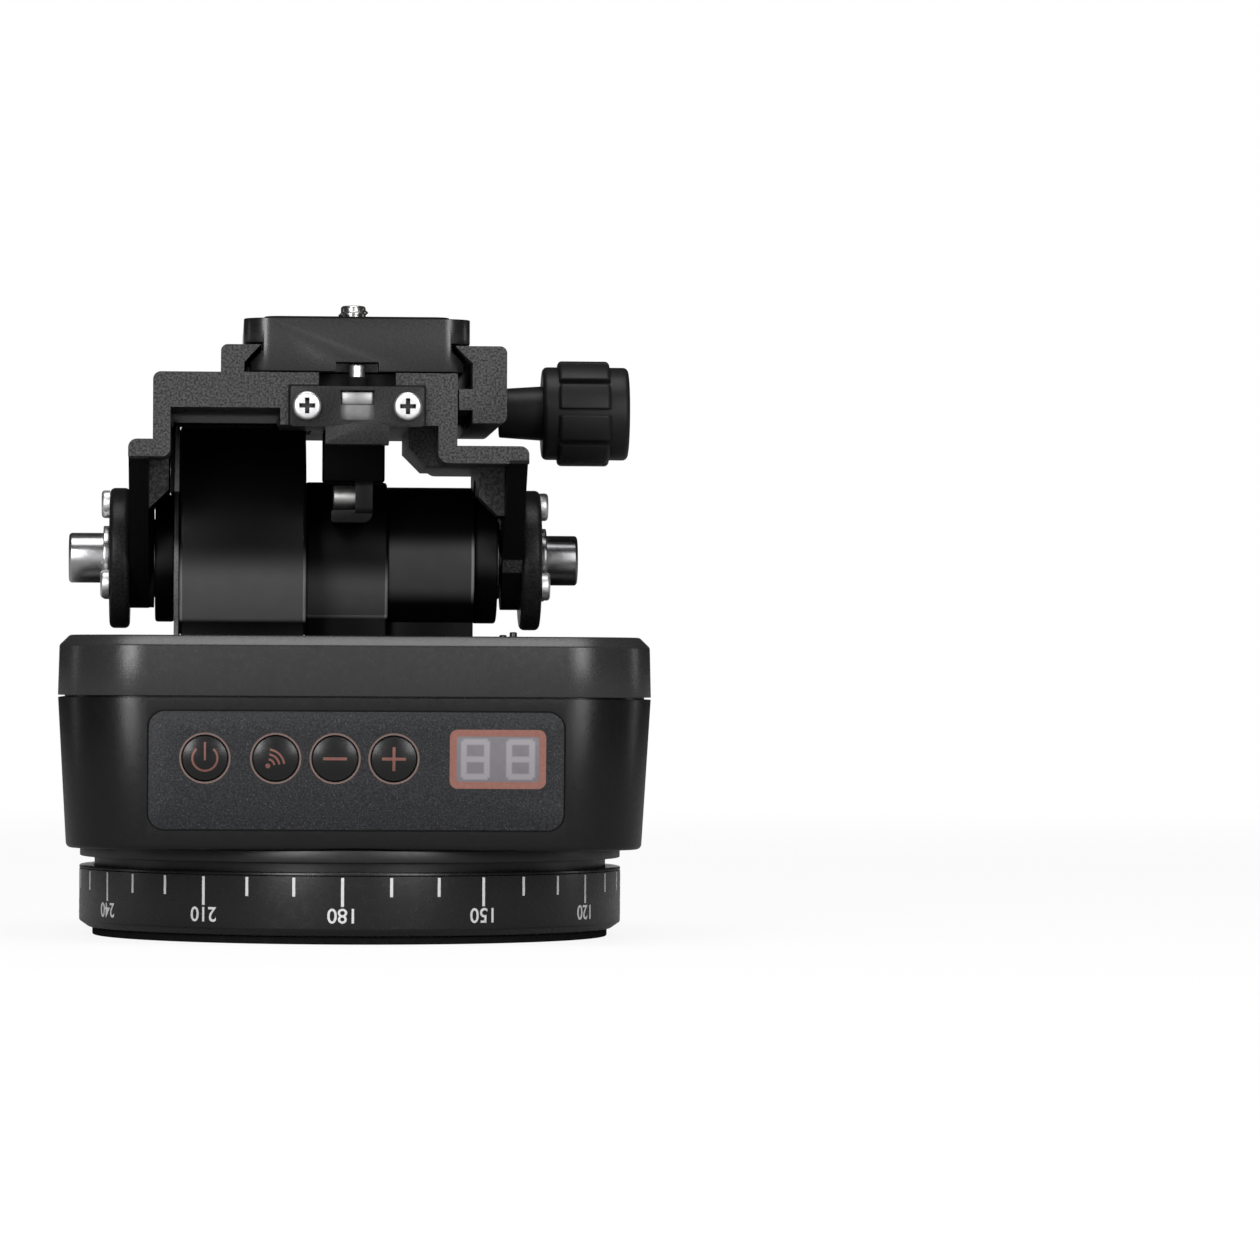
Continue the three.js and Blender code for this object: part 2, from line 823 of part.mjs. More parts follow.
// Four push buttons, each with a flange behind the wall
const flangeFront = panelThickness + fitGap + housingWall;
for (const [name, x] of Object.entries(buttonPlaces)) {
  const front = buttonProud;
  const back = buttonProud - buttonLength;
  const flangeTop = -flangeFront;
  const button = turnedForward([
    [0, back],
    [buttonRadius + buttonFlange, back],
    [buttonRadius + buttonFlange, flangeTop],
    [buttonRadius, flangeTop],
    [buttonRadius, front - buttonCrown],
    [buttonRadius - buttonCrown, front - buttonCrown / 2],
    [0, front],
  ], shaftFacets, x, 0, buttonRow);
  piece(`${name}_button`, button, materials.blackPlastic, panel);
}

// Board behind the buttons with one switch for each
const switchTop = boardFace - switchHeight;
const switches = Object.values(buttonPlaces).map((x) => block(
  x - switchSize / 2,
  x + switchSize / 2,
  switchTop,
  boardFace + boardThickness / 2,
  buttonRow - switchSize / 2,
  buttonRow + switchSize / 2,
));
const buttonBoard = join(
  block(
    boardLeft,
    boardRight,
    boardFace,
    boardFace + boardThickness,
    buttonRow - buttonBoardHeight / 2,
    buttonRow + buttonBoardHeight / 2,
  ),
  ...switches,
);
piece('button_board', buttonBoard, materials.circuitBoard, panel);

// Display window and the two-digit module behind it
const windowPane = block(
  windowLeft,
  windowLeft + windowWidth,
  0,
  windowThickness,
  buttonRow - windowHalfHeight,
  buttonRow + windowHalfHeight,
);
piece('display_window', windowPane, materials.smokedWindow, panel);
const display = block(
  windowLeft + displayMargin,
  windowLeft + windowWidth - displayMargin,
  windowThickness + fitGap,
  windowThickness + fitGap + displayDepth,
  buttonRow - windowHalfHeight + displayMargin,
  buttonRow + windowHalfHeight - displayMargin,
);
piece('display_module', display, materials.whitePlastic, panel);

// Battery pack of two wrapped cells on the floor, left of the pan gear
const panGearTip = panGearRadius + addendumShare * panModule;
const batteryX = -(panGearTip + batteryClearance + batteryWidth / 2);
const batteryZ = floorZ + stackGap + batteryHeight / 2;
const cellPack = prismForward(
  roundedRectangle(batteryWidth, batteryHeight, batteryCorner),
  -batteryLength / 2,
  batteryLength / 2,
).translate(batteryX, 0, batteryZ);
piece('battery_pack', cellPack, materials.cellWrap);

// Main board on edge in its two guides, with a receiver can and a driver chip facing inwards
const mainBoardBottomZ = floorZ + fitGap;
const mainBoardMiddleZ = mainBoardBottomZ + mainBoardHeight / 2;
const boardPart = (y) => block(
  mainBoardLeft - boardPartHeight,
  mainBoardLeft + boardThickness / 2,
  y - boardPartSize / 2,
  y + boardPartSize / 2,
  mainBoardMiddleZ - boardPartSize / 2,
  mainBoardMiddleZ + boardPartSize / 2,
);
const mainBoard = join(
  block(
    mainBoardLeft,
    mainBoardRight,
    fitGap - mainBoardLength / 2,
    mainBoardLength / 2 - fitGap,
    mainBoardBottomZ,
    mainBoardBottomZ + mainBoardHeight,
  ),
  boardPart(-boardPartSize),
  boardPart(boardPartSize),
);
piece('main_board', mainBoard, materials.circuitBoard);

// Pan motor: flange on the two bosses, shaft hole downwards
const panFlangeTopZ = panMotorZ + panFlangeThickness;
const panMotor = cut(
  join(
    turnedUp(rod(panFlangeRadius, panMotorZ, panFlangeTopZ)),
    turnedUp(rod(panMotorRadius, panFlangeTopZ - panFlangeThickness / 2, panFlangeTopZ + panMotorLength)),
  ),
  turnedUp(rod(motorShaftRadius + fitGap, panMotorZ - cutOverrun, panMotorZ + motorShaftSeat + fitGap)),
);
piece('pan_motor', panMotor.translate(0, panCentre, 0), materials.steel);

const panToothAngle = (1 / panPinionTeeth - 1 / 2) * Math.PI;
const panPinion = join(
  prismUp(gearOutline(panPinionTeeth, panModule, panToothAngle), panGearZ, panGearZ + panGearFace),
  turnedUp(rod(motorShaftRadius, panGearZ + panGearFace / 2, panMotorZ + motorShaftSeat)),
);
piece('pan_pinion', panPinion.translate(0, panCentre, 0), materials.brass);

// Charging socket in the back wall: a round barrel with a centre pin
const socketOuterY = backWallY - fitGap;
const socket = turnedForward([
  [0, -socketLength],
  [socketRadius, -socketLength],
  [socketRadius, 0],
  [socketBore, 0],
  [socketBore, socketWall - socketLength],
  [socketPinRadius, socketWall - socketLength],
  [socketPinRadius, -socketWall],
  [0, -socketWall],
], shaftFacets, 0, 0, 0);
piece(
  'charge_socket',
  socket.rotateZ(Math.PI).translate(socketPlace, socketOuterY, socketZ),
  materials.blackPlastic,
);

// Fixed shells of the tilt drive: a round section standing on a straight plinth
function roundOnPlinth(radius, plinth, bottomZ) {
  const plinthTop = coverTopZ + plinth;
  const drop = tiltAxisZ - plinthTop;
  const half = Math.sqrt(radius * radius - drop * drop);
  const start = Math.asin(-drop / radius);
  const shape = new THREE.Shape();
  shape.moveTo(half, bottomZ);
  shape.lineTo(half, plinthTop);
  shape.absarc(0, tiltAxisZ, radius, start, Math.PI - start);
  shape.lineTo(-half, bottomZ);
  shape.closePath();
  return shape;
}

const driveBottomZ = coverTopZ + stackGap;
const driveFacets = ringFacets / 2;
const casePlan = roundOnPlinth(caseRadius, casePlinth, driveBottomZ);
const tiltBore = tiltBearingRadius + fitGap;
const shaftBore = stubRadius + fitGap;
const wheelRadius = tiltModule * wheelTeeth / 2;
const pinionRadius = tiltModule * pinionTeeth / 2;
const gearCentre = wheelRadius + pinionRadius;
const midGearZ = tiltAxisZ + gearCentre;
const axleBore = axleRadius + fitGap;

// Round gear case: open to the left, with the motor's hole and the axle's seat in its right wall
const caseInnerRight = caseRight - caseWall;
const axleSeat = rod(axleBore, caseInnerRight - cutOverrun, caseRight + cutOverrun);
const gearCase = cut(
  prismAcross(casePlan, caseLeft, caseRight - stackGap, driveFacets),
  turnedAcross(rod(caseRadius - caseWall, caseLeft - cutOverrun, caseInnerRight), ringFacets),
  turnedAcross(rod(spacerRadius, caseInnerRight - cutOverrun, caseRight + cutOverrun)),
  turnedAcross(axleSeat, screwFacets, 0, midGearZ),
);
piece('gear_case', gearCase, materials.blackPlastic);

const caseCover = cut(
  prismAcross(casePlan, caseCoverLeft, caseCoverLeft + caseCoverThickness, driveFacets),
  turnedAcross(rod(shaftBore, caseCoverLeft - cutOverrun, caseLeft + cutOverrun)),
);
piece('gear_case_cover', caseCover, materials.cradleMetal);

// Middle shell and motor shell round the tilt motor
const motorBore = tiltMotorRadius + fitGap;
const middlePlan = roundOnPlinth(middleRadius, middlePlinth, driveBottomZ);
const middleShell = cut(
  prismAcross(middlePlan, caseRight, middleRight - stackGap, driveFacets),
  turnedAcross(rod(motorBore, caseRight - cutOverrun, middleRight + cutOverrun)),
);
piece('middle_shell', middleShell, materials.blackPlastic);

const motorPlan = roundOnPlinth(motorShellRadius, motorPlinth, driveBottomZ);
const motorShell = cut(
  prismAcross(motorPlan, middleRight, motorShellRight - stackGap, driveFacets),
  turnedAcross(rod(motorBore, middleRight - cutOverrun, motorShellRight - motorShellWall)),
);
piece('motor_shell', motorShell, materials.blackPlastic);

// Tilt motor: a can whose front faces the gear case
const tiltMotorLeft = motorShellRight - motorShellWall - fitGap - tiltMotorLength;
const tiltShaftEnd = tiltMotorLeft + motorShaftSeat;
const tiltMotor = cut(
  turnedAcross(rod(tiltMotorRadius, tiltMotorLeft, tiltMotorLeft + tiltMotorLength)),
  turnedAcross(rod(motorShaftRadius + fitGap, tiltMotorLeft - cutOverrun, tiltShaftEnd + fitGap)),
);
piece('tilt_motor', tiltMotor, materials.steel);

// Bearing collars and bearings on both sides
const leftCollarRight = caseCoverLeft - stackGap;
const collar = (x0, x1) => turnedAcross(tube(tiltBore, collarRadius, x0, x1));
piece('left_collar', collar(leftCollarLeft, leftCollarRight), materials.blackPlastic);
piece('right_collar', collar(motorShellRight, rightCollarRight), materials.blackPlastic);

// Each bearing has a raised spacer that faces the cradle's arm
const leftBearing = turnedAcross([
  [shaftBore, leftArmInner + fitGap],
  [spacerRadius, leftArmInner + fitGap],
  [spacerRadius, leftCollarLeft],
  [tiltBearingRadius, leftCollarLeft],
  [tiltBearingRadius, leftCollarRight],
  [shaftBore, leftCollarRight],
]);
piece('left_bearing', leftBearing, materials.steel);
const rightBearing = turnedAcross([
  [shaftBore, motorShellRight],
  [tiltBearingRadius, motorShellRight],
  [tiltBearingRadius, rightCollarRight],
  [spacerRadius, rightCollarRight],
  [spacerRadius, rightArmInner - fitGap],
  [shaftBore, rightArmInner - fitGap],
]);
piece('right_bearing', rightBearing, materials.steel);

// Two-stage reduction: motor pinion, double wheel on its axle, output wheel on the left shaft
const upwards = Math.PI / 2;
const wheelHalfPitch = Math.PI / wheelTeeth;
const driveRight = caseInnerRight - gearSpacing;
const driveLeft = driveRight - gearFace;
const outputRight = driveLeft - gearSpacing;
const outputLeft = outputRight - gearFace;
const overDrive = driveRight - gearFace / 2;
const overOutput = outputRight - gearFace / 2;

function gearAcross(teeth, toothAngle, x0, x1, z) {
  return prismAcross(gearOutline(teeth, tiltModule, toothAngle), x0, x1).translate(0, 0, z);
}

const pinion = join(
  gearAcross(pinionTeeth, upwards, driveLeft, driveRight, tiltAxisZ),
  turnedAcross(rod(motorShaftRadius, overDrive, tiltShaftEnd), screwFacets),
);
piece('tilt_pinion', pinion, materials.brass);

const midGear = cut(
  join(
    gearAcross(wheelTeeth, -upwards + wheelHalfPitch, driveLeft, driveRight, midGearZ),
    gearAcross(pinionTeeth, -upwards, outputLeft, overDrive, midGearZ),
  ),
  turnedAcross(rod(axleBore, outputLeft - cutOverrun, driveRight + cutOverrun), screwFacets, 0, midGearZ),
);
piece('tilt_mid_gear', midGear, materials.brass);

const axleRight = caseRight - stackGap;
piece(
  'mid_gear_axle',
  turnedAcross(rod(axleRadius, axleRight - axleLength, axleRight), screwFacets, 0, midGearZ),
  materials.steel,
);

const outputHubLeft = outputLeft - outputHubLength;
const outputWheel = cut(
  join(
    gearAcross(wheelTeeth, upwards + wheelHalfPitch, outputLeft, outputRight, tiltAxisZ),
    turnedAcross(rod(outputHubRadius, outputHubLeft, overOutput)),
  ),
  turnedAcross(rod(shaftBore, outputHubLeft - cutOverrun, outputRight + cutOverrun)),
);
piece('tilt_output_gear', outputWheel, materials.brass);

// Cradle front profile in x and z, seen from the panel's side
const leftShoulderZ = cradleTopZ - leftShoulderDrop;
const rightShoulderZ = cradleTopZ - rightShoulderDrop;
const ceilingZ = cradleTopZ - topWall;
const spineZ = cradleTopZ - spineWall;
const leftUnderZ = leftShoulderZ - shoulderWall;
const rightUnderZ = rightShoulderZ - shoulderWall;
const leftLegInner = cradleLeft + leftWall;
const rightLegInner = cradleRight - rightWall;
const jawRight = fixedJawPlace + fixedJawWidth;
const jawTopZ = cradleTopZ + fixedJawHeight;
const cradleProfile = outline([
  [cradleLeft, cradleTopZ, cradleCorner],
  [cradleLeft, leftShoulderZ],
  [leftArmOuter, leftShoulderZ, shoulderCorner],
  [leftArmOuter, leftUnderZ],
  [leftLegInner, leftUnderZ, cradleCorner],
  [leftLegInner, ceilingZ],
  [spineLeft, ceilingZ],
  [spineLeft, spineZ],
  [rightLegInner, spineZ],
  [rightLegInner, rightUnderZ, innerCorner],
  [rightArmOuter, rightUnderZ],
  [rightArmOuter, rightShoulderZ, shoulderCorner],
  [cradleRight, rightShoulderZ],
  [cradleRight, cradleTopZ],
  [jawRight, cradleTopZ],
  [jawRight, jawTopZ - jawToothHeight],
  [jawRight + jawToothReach, jawTopZ],
  [fixedJawPlace, jawTopZ, jawCorner],
  [fixedJawPlace, cradleTopZ],
]);

// Arm: narrows from the shoulder down to the round lug on the shaft
function armOutline(topZ) {
  const half = armRootHalf;
  const rise = topZ - tiltAxisZ;
  const reach = Math.hypot(half, rise);
  const angle = Math.atan2(rise, half) - Math.acos(lugRadius / reach);
  const shape = new THREE.Shape();
  shape.moveTo(half, topZ);
  shape.lineTo(-half, topZ);
  shape.absarc(0, tiltAxisZ, lugRadius, Math.PI - angle, 2 * Math.PI + angle);
  shape.closePath();
  return shape;
}

function gusset(points) {
  return prismForward(outline(points), -gussetHalf, gussetHalf);
}

const lugFacets = shaftFacets / 2;
const overlap = shoulderWall / 2;
const leftGusset = gusset([
  [leftArmInner - overlap, leftUnderZ + overlap],
  [leftArmInner - overlap, leftUnderZ - gussetDrop - gussetSlope],
  [leftArmInner, leftUnderZ - gussetDrop - gussetSlope],
  [leftArmInner + leftGussetReach, leftUnderZ - gussetDrop],
  [leftArmInner + leftGussetReach, leftUnderZ + overlap],
]);
const rightGusset = gusset([
  [rightArmInner + overlap, rightUnderZ + overlap],
  [rightArmInner - rightGussetReach, rightUnderZ + overlap],
  [rightArmInner - rightGussetReach, rightUnderZ - gussetDrop],
  [rightArmInner - rightGussetReach + gussetSlope, rightUnderZ - gussetDrop - gussetSlope],
  [rightArmInner + overlap, rightUnderZ - gussetDrop - gussetSlope],
]);
const clampBlock = prismForward(outline([
  [rightLegInner + overlap, spineZ + overlap],
  [clampBlockLeft, spineZ + overlap],
  [clampBlockLeft, rightUnderZ + clampBlockSlope],
  [clampBlockLeft + clampBlockSlope, rightUnderZ],
  [rightLegInner + overlap, rightUnderZ],
]), -clampBlockHalf, clampBlockHalf);

// Room for the drive to turn inside the cradle, stepped like the drive
const caseRoom = caseRadius + turnClearance;
const middleRoom = middleRadius + turnClearance;
const collarRoom = collarRadius + turnClearance;
const turningRoom = turnedAcross([
  [0, leftArmInner],
  [collarRoom, leftArmInner],
  [collarRoom, caseCoverLeft - turnClearance],
  [caseRoom, caseCoverLeft - turnClearance],
  [caseRoom, caseRight + turnClearance],
  [middleRoom, caseRight + turnClearance],
  [middleRoom, motorShellRight + turnClearance],
  [collarRoom, motorShellRight + turnClearance],
  [collarRoom, rightArmInner],
  [0, rightArmInner],
], ringFacets);

const lockSlotHalf = lockSlotWidth / 2;
const lockSlotBack = cradleFront + lockSlotDepth;
const lockSlot = block(
  -lockSlotHalf,
  lockSlotHalf,
  cradleFront - cutOverrun,
  lockSlotBack,
  spineZ - cutOverrun,
  cradleTopZ + cutOverrun,
);
const clampHole = turnedAcross(
  rod(clampScrewRadius + fitGap, cradleRight - clampScrewSeat, cradleRight + cutOverrun),
  shaftFacets,
  0,
  knobZ,
);
const lockScrewZ = cradleTopZ - lockCoverTop - lockScrewDrop;
const screwHole = screwShankRadius + fitGap;
const lockScrewHoles = sides.map((side) => turnedForward(
  rod(screwHole, -screwShankLength - fitGap, lockCoverThickness + cutOverrun),
  screwFacets,
  side * lockScrewPlace,
  cradleFront,
  lockScrewZ,
));

// Places of the disc screws round the tilt axis, the first one at the top
const discScrewPlaces = Array.from({ length: discScrewCount }, (unused, i) => {
  const angle = upwards + i * 2 * Math.PI / discScrewCount;
  return [discScrewCircle * Math.cos(angle), tiltAxisZ + discScrewCircle * Math.sin(angle)];
});

const cradleBody = join(
  prismForward(cradleProfile, cradleFront, cradleBack),
  prismAcross(armOutline(leftUnderZ + overlap), leftArmOuter, leftArmInner, lugFacets),
  prismAcross(armOutline(rightUnderZ + overlap), rightArmInner, rightArmOuter, lugFacets),
  leftGusset,
  rightGusset,
  clampBlock,
);
const cradle = cut(
  cradleBody,
  turningRoom,
  turnedAcross(rod(shaftBore, leftArmOuter - cutOverrun, rightArmOuter + cutOverrun)),
  lockSlot,
  clampHole,
  ...lockScrewHoles,
);
piece('cradle', cradle, materials.cradleMetal);

// Shafts with their flanges: the left one drives the cradle, the right one only carries it
const leftDiscOuter = leftArmOuter - stackGap - discThickness;
const rightDiscOuter = rightArmOuter + stackGap + discThickness;
const leftFlangeOuter = leftDiscOuter - stackGap - stubFlangeThickness;
const rightFlangeOuter = rightDiscOuter + stackGap + stubFlangeThickness;
const leftShaft = turnedAcross([
  [0, leftFlangeOuter - leftStubLength],
  [stubRadius - stubChamfer, leftFlangeOuter - leftStubLength],
  [stubRadius, leftFlangeOuter - leftStubLength + stubChamfer],
  [stubRadius, leftFlangeOuter],
  [stubFlangeRadius, leftFlangeOuter],
  [stubFlangeRadius, leftDiscOuter - stackGap],
  [stubRadius, leftDiscOuter - stackGap],
  [stubRadius, outputRight],
  [0, outputRight],
]);
piece('left_shaft', leftShaft, materials.chrome);
const rightShaft = turnedAcross([
  [0, rightCollarRight - rightShaftInner],
  [stubRadius, rightCollarRight - rightShaftInner],
  [stubRadius, rightDiscOuter + stackGap],
  [stubFlangeRadius, rightDiscOuter + stackGap],
  [stubFlangeRadius, rightFlangeOuter],
  [stubRadius, rightFlangeOuter],
  [stubRadius, rightFlangeOuter + rightStubLength - stubChamfer],
  [stubRadius - stubChamfer, rightFlangeOuter + rightStubLength],
  [0, rightFlangeOuter + rightStubLength],
]);
piece('right_shaft', rightShaft, materials.chrome);

// Flange discs screwed to the arms
function disc(x0, x1) {
  const body = turnedAcross([
    [shaftBore, x0],
    [discRadius - discEdge, x0],
    [discRadius, x0 + discEdge],
    [discRadius, x1 - discEdge],
    [discRadius - discEdge, x1],
    [shaftBore, x1],
  ], ringFacets);
  return cut(body, ...discScrewPlaces.map(([y, z]) => turnedAcross(
    rod(screwHole, x0 - cutOverrun, x1 + cutOverrun),
    screwFacets,
    y,
    z,
  )));
}
piece('left_disc', disc(leftDiscOuter, leftArmOuter - stackGap), materials.cradleMetal);
piece('right_disc', disc(rightArmOuter + stackGap, rightDiscOuter), materials.cradleMetal);

// Pan head screw: its shank points down its own axis from the head's seat at zero
const discShank = discThickness - fitGap;
const screwSection = (shank) => [
  [0, -shank],
  [screwShankRadius, -shank],
  [screwShankRadius, stackGap],
  [screwHeadRadius, stackGap],
  [screwHeadRadius, screwHeadHeight - screwCrown],
  [screwHeadRadius - screwCrown, screwHeadHeight],
  [0, screwHeadHeight],
];
discScrewPlaces.forEach(([y, z], i) => {
  const right = turnedAcross(screwSection(discShank), screwFacets, y, z).translate(rightDiscOuter, 0, 0);
  piece(`right_disc_screw_${i + 1}`, right, materials.chrome);
  const left = turnedAcross(screwSection(discShank), screwFacets, 0, 0).rotateZ(Math.PI);
  piece(`left_disc_screw_${i + 1}`, left.translate(leftDiscOuter, y, z), materials.chrome);
});

// Lock cover: a flat T on the cradle's front whose foot turns in under the slot
const lockTopZ = cradleTopZ - lockCoverTop;
const lockBottomZ = lockTopZ - lockCoverHeight;
const stemBottomZ = lockBottomZ - lockStemDrop;
const shelfTopZ = stemBottomZ + lockShelfThickness;
const windowBottomZ = lockBottomZ + lockWindowRise;
const lockBack = cradleFront - stackGap;
const lockFront = lockBack - lockCoverThickness;
const stemHalf = lockStemWidth / 2;
const windowHalf = lockWindowWidth / 2;
const lockCover = cut(
  join(
    block(-lockCoverWidth / 2, lockCoverWidth / 2, lockFront, lockBack, lockBottomZ, lockTopZ),
    block(-stemHalf, stemHalf, lockFront, lockBack, stemBottomZ, lockTopZ),
    block(-stemHalf, stemHalf, lockFront, lockSlotBack - fitGap, stemBottomZ, shelfTopZ),
  ),
  block(
    -windowHalf,
    windowHalf,
    lockFront - cutOverrun,
    lockBack + cutOverrun,
    windowBottomZ,
    windowBottomZ + lockWindowHeight,
  ),
  ...lockScrewHoles,
);
piece('lock_cover', lockCover, materials.cradleMetal);
const lockScrewSection = screwSection(screwShankLength);
for (const side of sides) {
  const name = side < 0 ? 'left' : 'right';
  const x = side * lockScrewPlace;
  const screw = turnedForward(lockScrewSection, screwFacets, x, lockFront, lockScrewZ);
  piece(`${name}_lock_screw`, screw, materials.chrome);
}

// Slider behind the window, with a finger lip, pressed up by the spring
const sliderHalf = lockSlotHalf - fitGap;
const sliderFront = lockBack + fitGap;
const sliderBack = lockSlotBack - fitGap;
const sliderBottomZ = shelfTopZ + lockTravel + fitGap;
const sliderTopZ = windowBottomZ + lockWindowHeight - fitGap;
const lockPinY = (sliderFront + sliderBack) / 2;
const springTopZ = shelfTopZ + springSeat;
const pinTopZ = cradleTopZ + lockPinTop;
const pinBottomZ = sliderTopZ - lockPinSeat;
const slider = cut(
  join(
    block(-sliderHalf, sliderHalf, sliderFront, sliderBack, sliderBottomZ, sliderTopZ),
    block(
      fitGap - windowHalf,
      windowHalf - fitGap,
      lockFront + lipDepth,
      sliderBack,
      windowBottomZ + lockTravel + fitGap,
      sliderTopZ,
    ),
  ),
  turnedUp(rod(springRadius + fitGap, sliderBottomZ - cutOverrun, springTopZ + fitGap), screwFacets)
    .translate(0, lockPinY, 0),
  turnedUp(rod(lockPinRadius + fitGap, pinBottomZ - fitGap, sliderTopZ + cutOverrun), screwFacets)
    .translate(0, lockPinY, 0),
);
piece('lock_slider', slider, materials.steel);

const lockPin = turnedUp([
  [0, pinBottomZ],
  [lockPinRadius, pinBottomZ],
  [lockPinRadius, pinTopZ - lockPinCrown],
  [lockPinRadius - lockPinCrown, pinTopZ],
  [0, pinTopZ],
], screwFacets);
piece('lock_pin', lockPin.translate(0, lockPinY, 0), materials.chrome);

const springInner = springRadius - springWire;
const springSection = tube(springInner, springRadius, shelfTopZ + stackGap, springTopZ);
const lockSpring = turnedUp(springSection, screwFacets).translate(0, lockPinY, 0);
piece('lock_spring', lockSpring, materials.steel);

// Stop block under the cradle's spine
const stopBlock = block(
  -stopBlockWidth / 2,
  stopBlockWidth / 2,
  -stopBlockFront,
  stopBlockDepth - stopBlockFront,
  tiltAxisZ + stopBlockBottom,
  spineZ - stackGap,
);
piece('stop_block', stopBlock, materials.blackPlastic);

// Stop pin in its bracket on the middle shell
const stopPinZ = tiltAxisZ + stopPinRise;
const stopPin = turnedAcross(
  rod(stopPinRadius, stopPinLeft, stopPinLeft + stopPinLength + bracketThickness / 2),
  screwFacets,
  -stopPinFront,
  stopPinZ,
);
piece('stop_pin', stopPin, materials.steel);

const bracketLeft = stopPinLeft + stopPinLength;
const bracketRight = bracketLeft + bracketThickness;
const tabFront = -stopPinFront - bracketHeight / 2;
const tabBack = -stopPinFront + bracketHeight / 2;
const tabBottomZ = stopPinZ - bracketHeight / 2;
const tabTopZ = stopPinZ + bracketHeight / 2;
const bracketTab = prismAcross(outline([
  [tabFront, tabBottomZ, bracketCorner],
  [tabBack, tabBottomZ],
  [tabBack, tabTopZ],
  [tabFront, tabTopZ, bracketCorner],
]), bracketLeft, bracketRight);
const bracketArm = block(
  bracketLeft,
  bracketRight,
  -stopPinFront,
  -middleRadius / 2,
  tabBottomZ - bracketHeight / 2,
  tabBottomZ + bracketCorner,
);
const pinSeatRight = bracketLeft + bracketThickness / 2 + fitGap;
const pinSeat = rod(stopPinRadius + fitGap, bracketLeft - cutOverrun, pinSeatRight);
const stopBracket = cut(
  join(bracketTab, bracketArm),
  turnedAcross(rod(middleRadius + fitGap, caseRight, middleRight), ringFacets),
  turnedAcross(pinSeat, screwFacets, -stopPinFront, stopPinZ),
);
piece('stop_bracket', stopBracket, materials.blackPlastic);

// Camera plate: rounded block whose sides are cut to a dovetail
const footTopZ = plateZ + plateFootHeight;
const waistZ = plateZ + plateWaistRise;
const waistTopZ = plateZ + plateWaistHeight;
const plateRim = plateHalf - plateEdge;
const plateSection = outline([
  [-plateFootHalf, plateZ],
  [plateFootHalf, plateZ],
  [plateFootHalf, footTopZ],
  [plateWaistHalf, waistZ],
  [plateWaistHalf, waistTopZ],
  [plateHalf, waistTopZ],
  [plateHalf, plateTopZ - plateEdge],
  [plateRim, plateTopZ],
  [-plateRim, plateTopZ],
  [-plateHalf, plateTopZ - plateEdge],
  [-plateHalf, waistTopZ],
  [-plateWaistHalf, waistTopZ],
  [-plateWaistHalf, waistZ],
  [-plateFootHalf, footTopZ],
]);
const screwRoom = cameraScrewRadius + fitGap;
const headRoomTop = plateZ + cameraHeadRecess + cameraHeadThickness + fitGap;
const padHalf = plateHalf - padInset;
const padLength = plateLength - 2 * padInset;
const padBottomZ = plateTopZ - padRecess;
const padCorner = plateCorner - padInset / 2;
const platePlan = roundedRectangle(2 * plateHalf, plateLength, plateCorner);
const plate = cut(
  common(
    prismForward(plateSection, plateFront - cutOverrun, cutOverrun - plateFront),
    prismUp(platePlan, plateZ - cutOverrun, plateTopZ + cutOverrun),
  ),
  turnedUp(rod(screwRoom, plateZ - cutOverrun, plateTopZ + cutOverrun)),
  turnedUp(rod(cameraHeadRadius + fitGap, plateZ - cutOverrun, headRoomTop)),
  block(
    -plateNotchWidth / 2,
    plateNotchWidth / 2,
    plateFront - cutOverrun,
    plateFront + plateNotchDepth,
    plateZ - cutOverrun,
    plateZ + plateNotchHeight,
  ),
  prismUp(
    roundedRectangle(2 * (padHalf + fitGap), padLength + 2 * fitGap, padCorner + fitGap),
    padBottomZ - stackGap,
    plateTopZ + cutOverrun,
  ),
);
piece('release_plate', plate, materials.plateMetal);

const platePad = cut(
  prismUp(roundedRectangle(2 * padHalf, padLength, padCorner), padBottomZ, padBottomZ + padThickness),
  turnedUp(rod(screwRoom, padBottomZ - cutOverrun, plateTopZ + padThickness)),
);
piece('plate_pad', platePad, materials.rubber);

const screwTopZ = padBottomZ + padThickness + cameraScrewProud;
const cameraScrew = turnedUp([
  [0, plateZ + cameraHeadRecess],
  [cameraHeadRadius, plateZ + cameraHeadRecess],
  [cameraHeadRadius, plateZ + cameraHeadRecess + cameraHeadThickness],
  [cameraScrewRadius, plateZ + cameraHeadRecess + cameraHeadThickness],
  [cameraScrewRadius, screwTopZ - cameraScrewTip],
  [cameraScrewRadius - cameraScrewTip, screwTopZ],
  [0, screwTopZ],
]);
piece('camera_screw', cameraScrew, materials.steel);

// Moving jaw: the tooth holds the plate, the tongue slides against the cradle's side
const jawBottomZ = cradleTopZ - jawBottom;
const tongueTopZ = cradleTopZ - jawTongueTop;
const tongueBottomZ = tongueTopZ - jawTongueHeight;
const jawHole = rod(clampScrewRadius + fitGap, cradleRight - cutOverrun, jawOuter + cutOverrun);
const movingJaw = cut(
  prismForward(outline([
    [jawInner, jawBottomZ],
    [jawOuter, jawBottomZ, jawCorner],
    [jawOuter, jawTopZ, jawCorner],
    [jawInner - jawToothHeight, jawTopZ],
    [jawInner, jawTopZ - jawToothHeight],
    [jawInner, tongueTopZ],
    [cradleRight + jawTongueGap, tongueTopZ],
    [cradleRight + jawTongueGap, tongueBottomZ],
    [jawInner, tongueBottomZ],
  ]), cradleFront, cradleBack),
  turnedAcross(jawHole, shaftFacets, 0, knobZ),
);
piece('clamp_jaw', movingJaw, materials.cradleMetal);

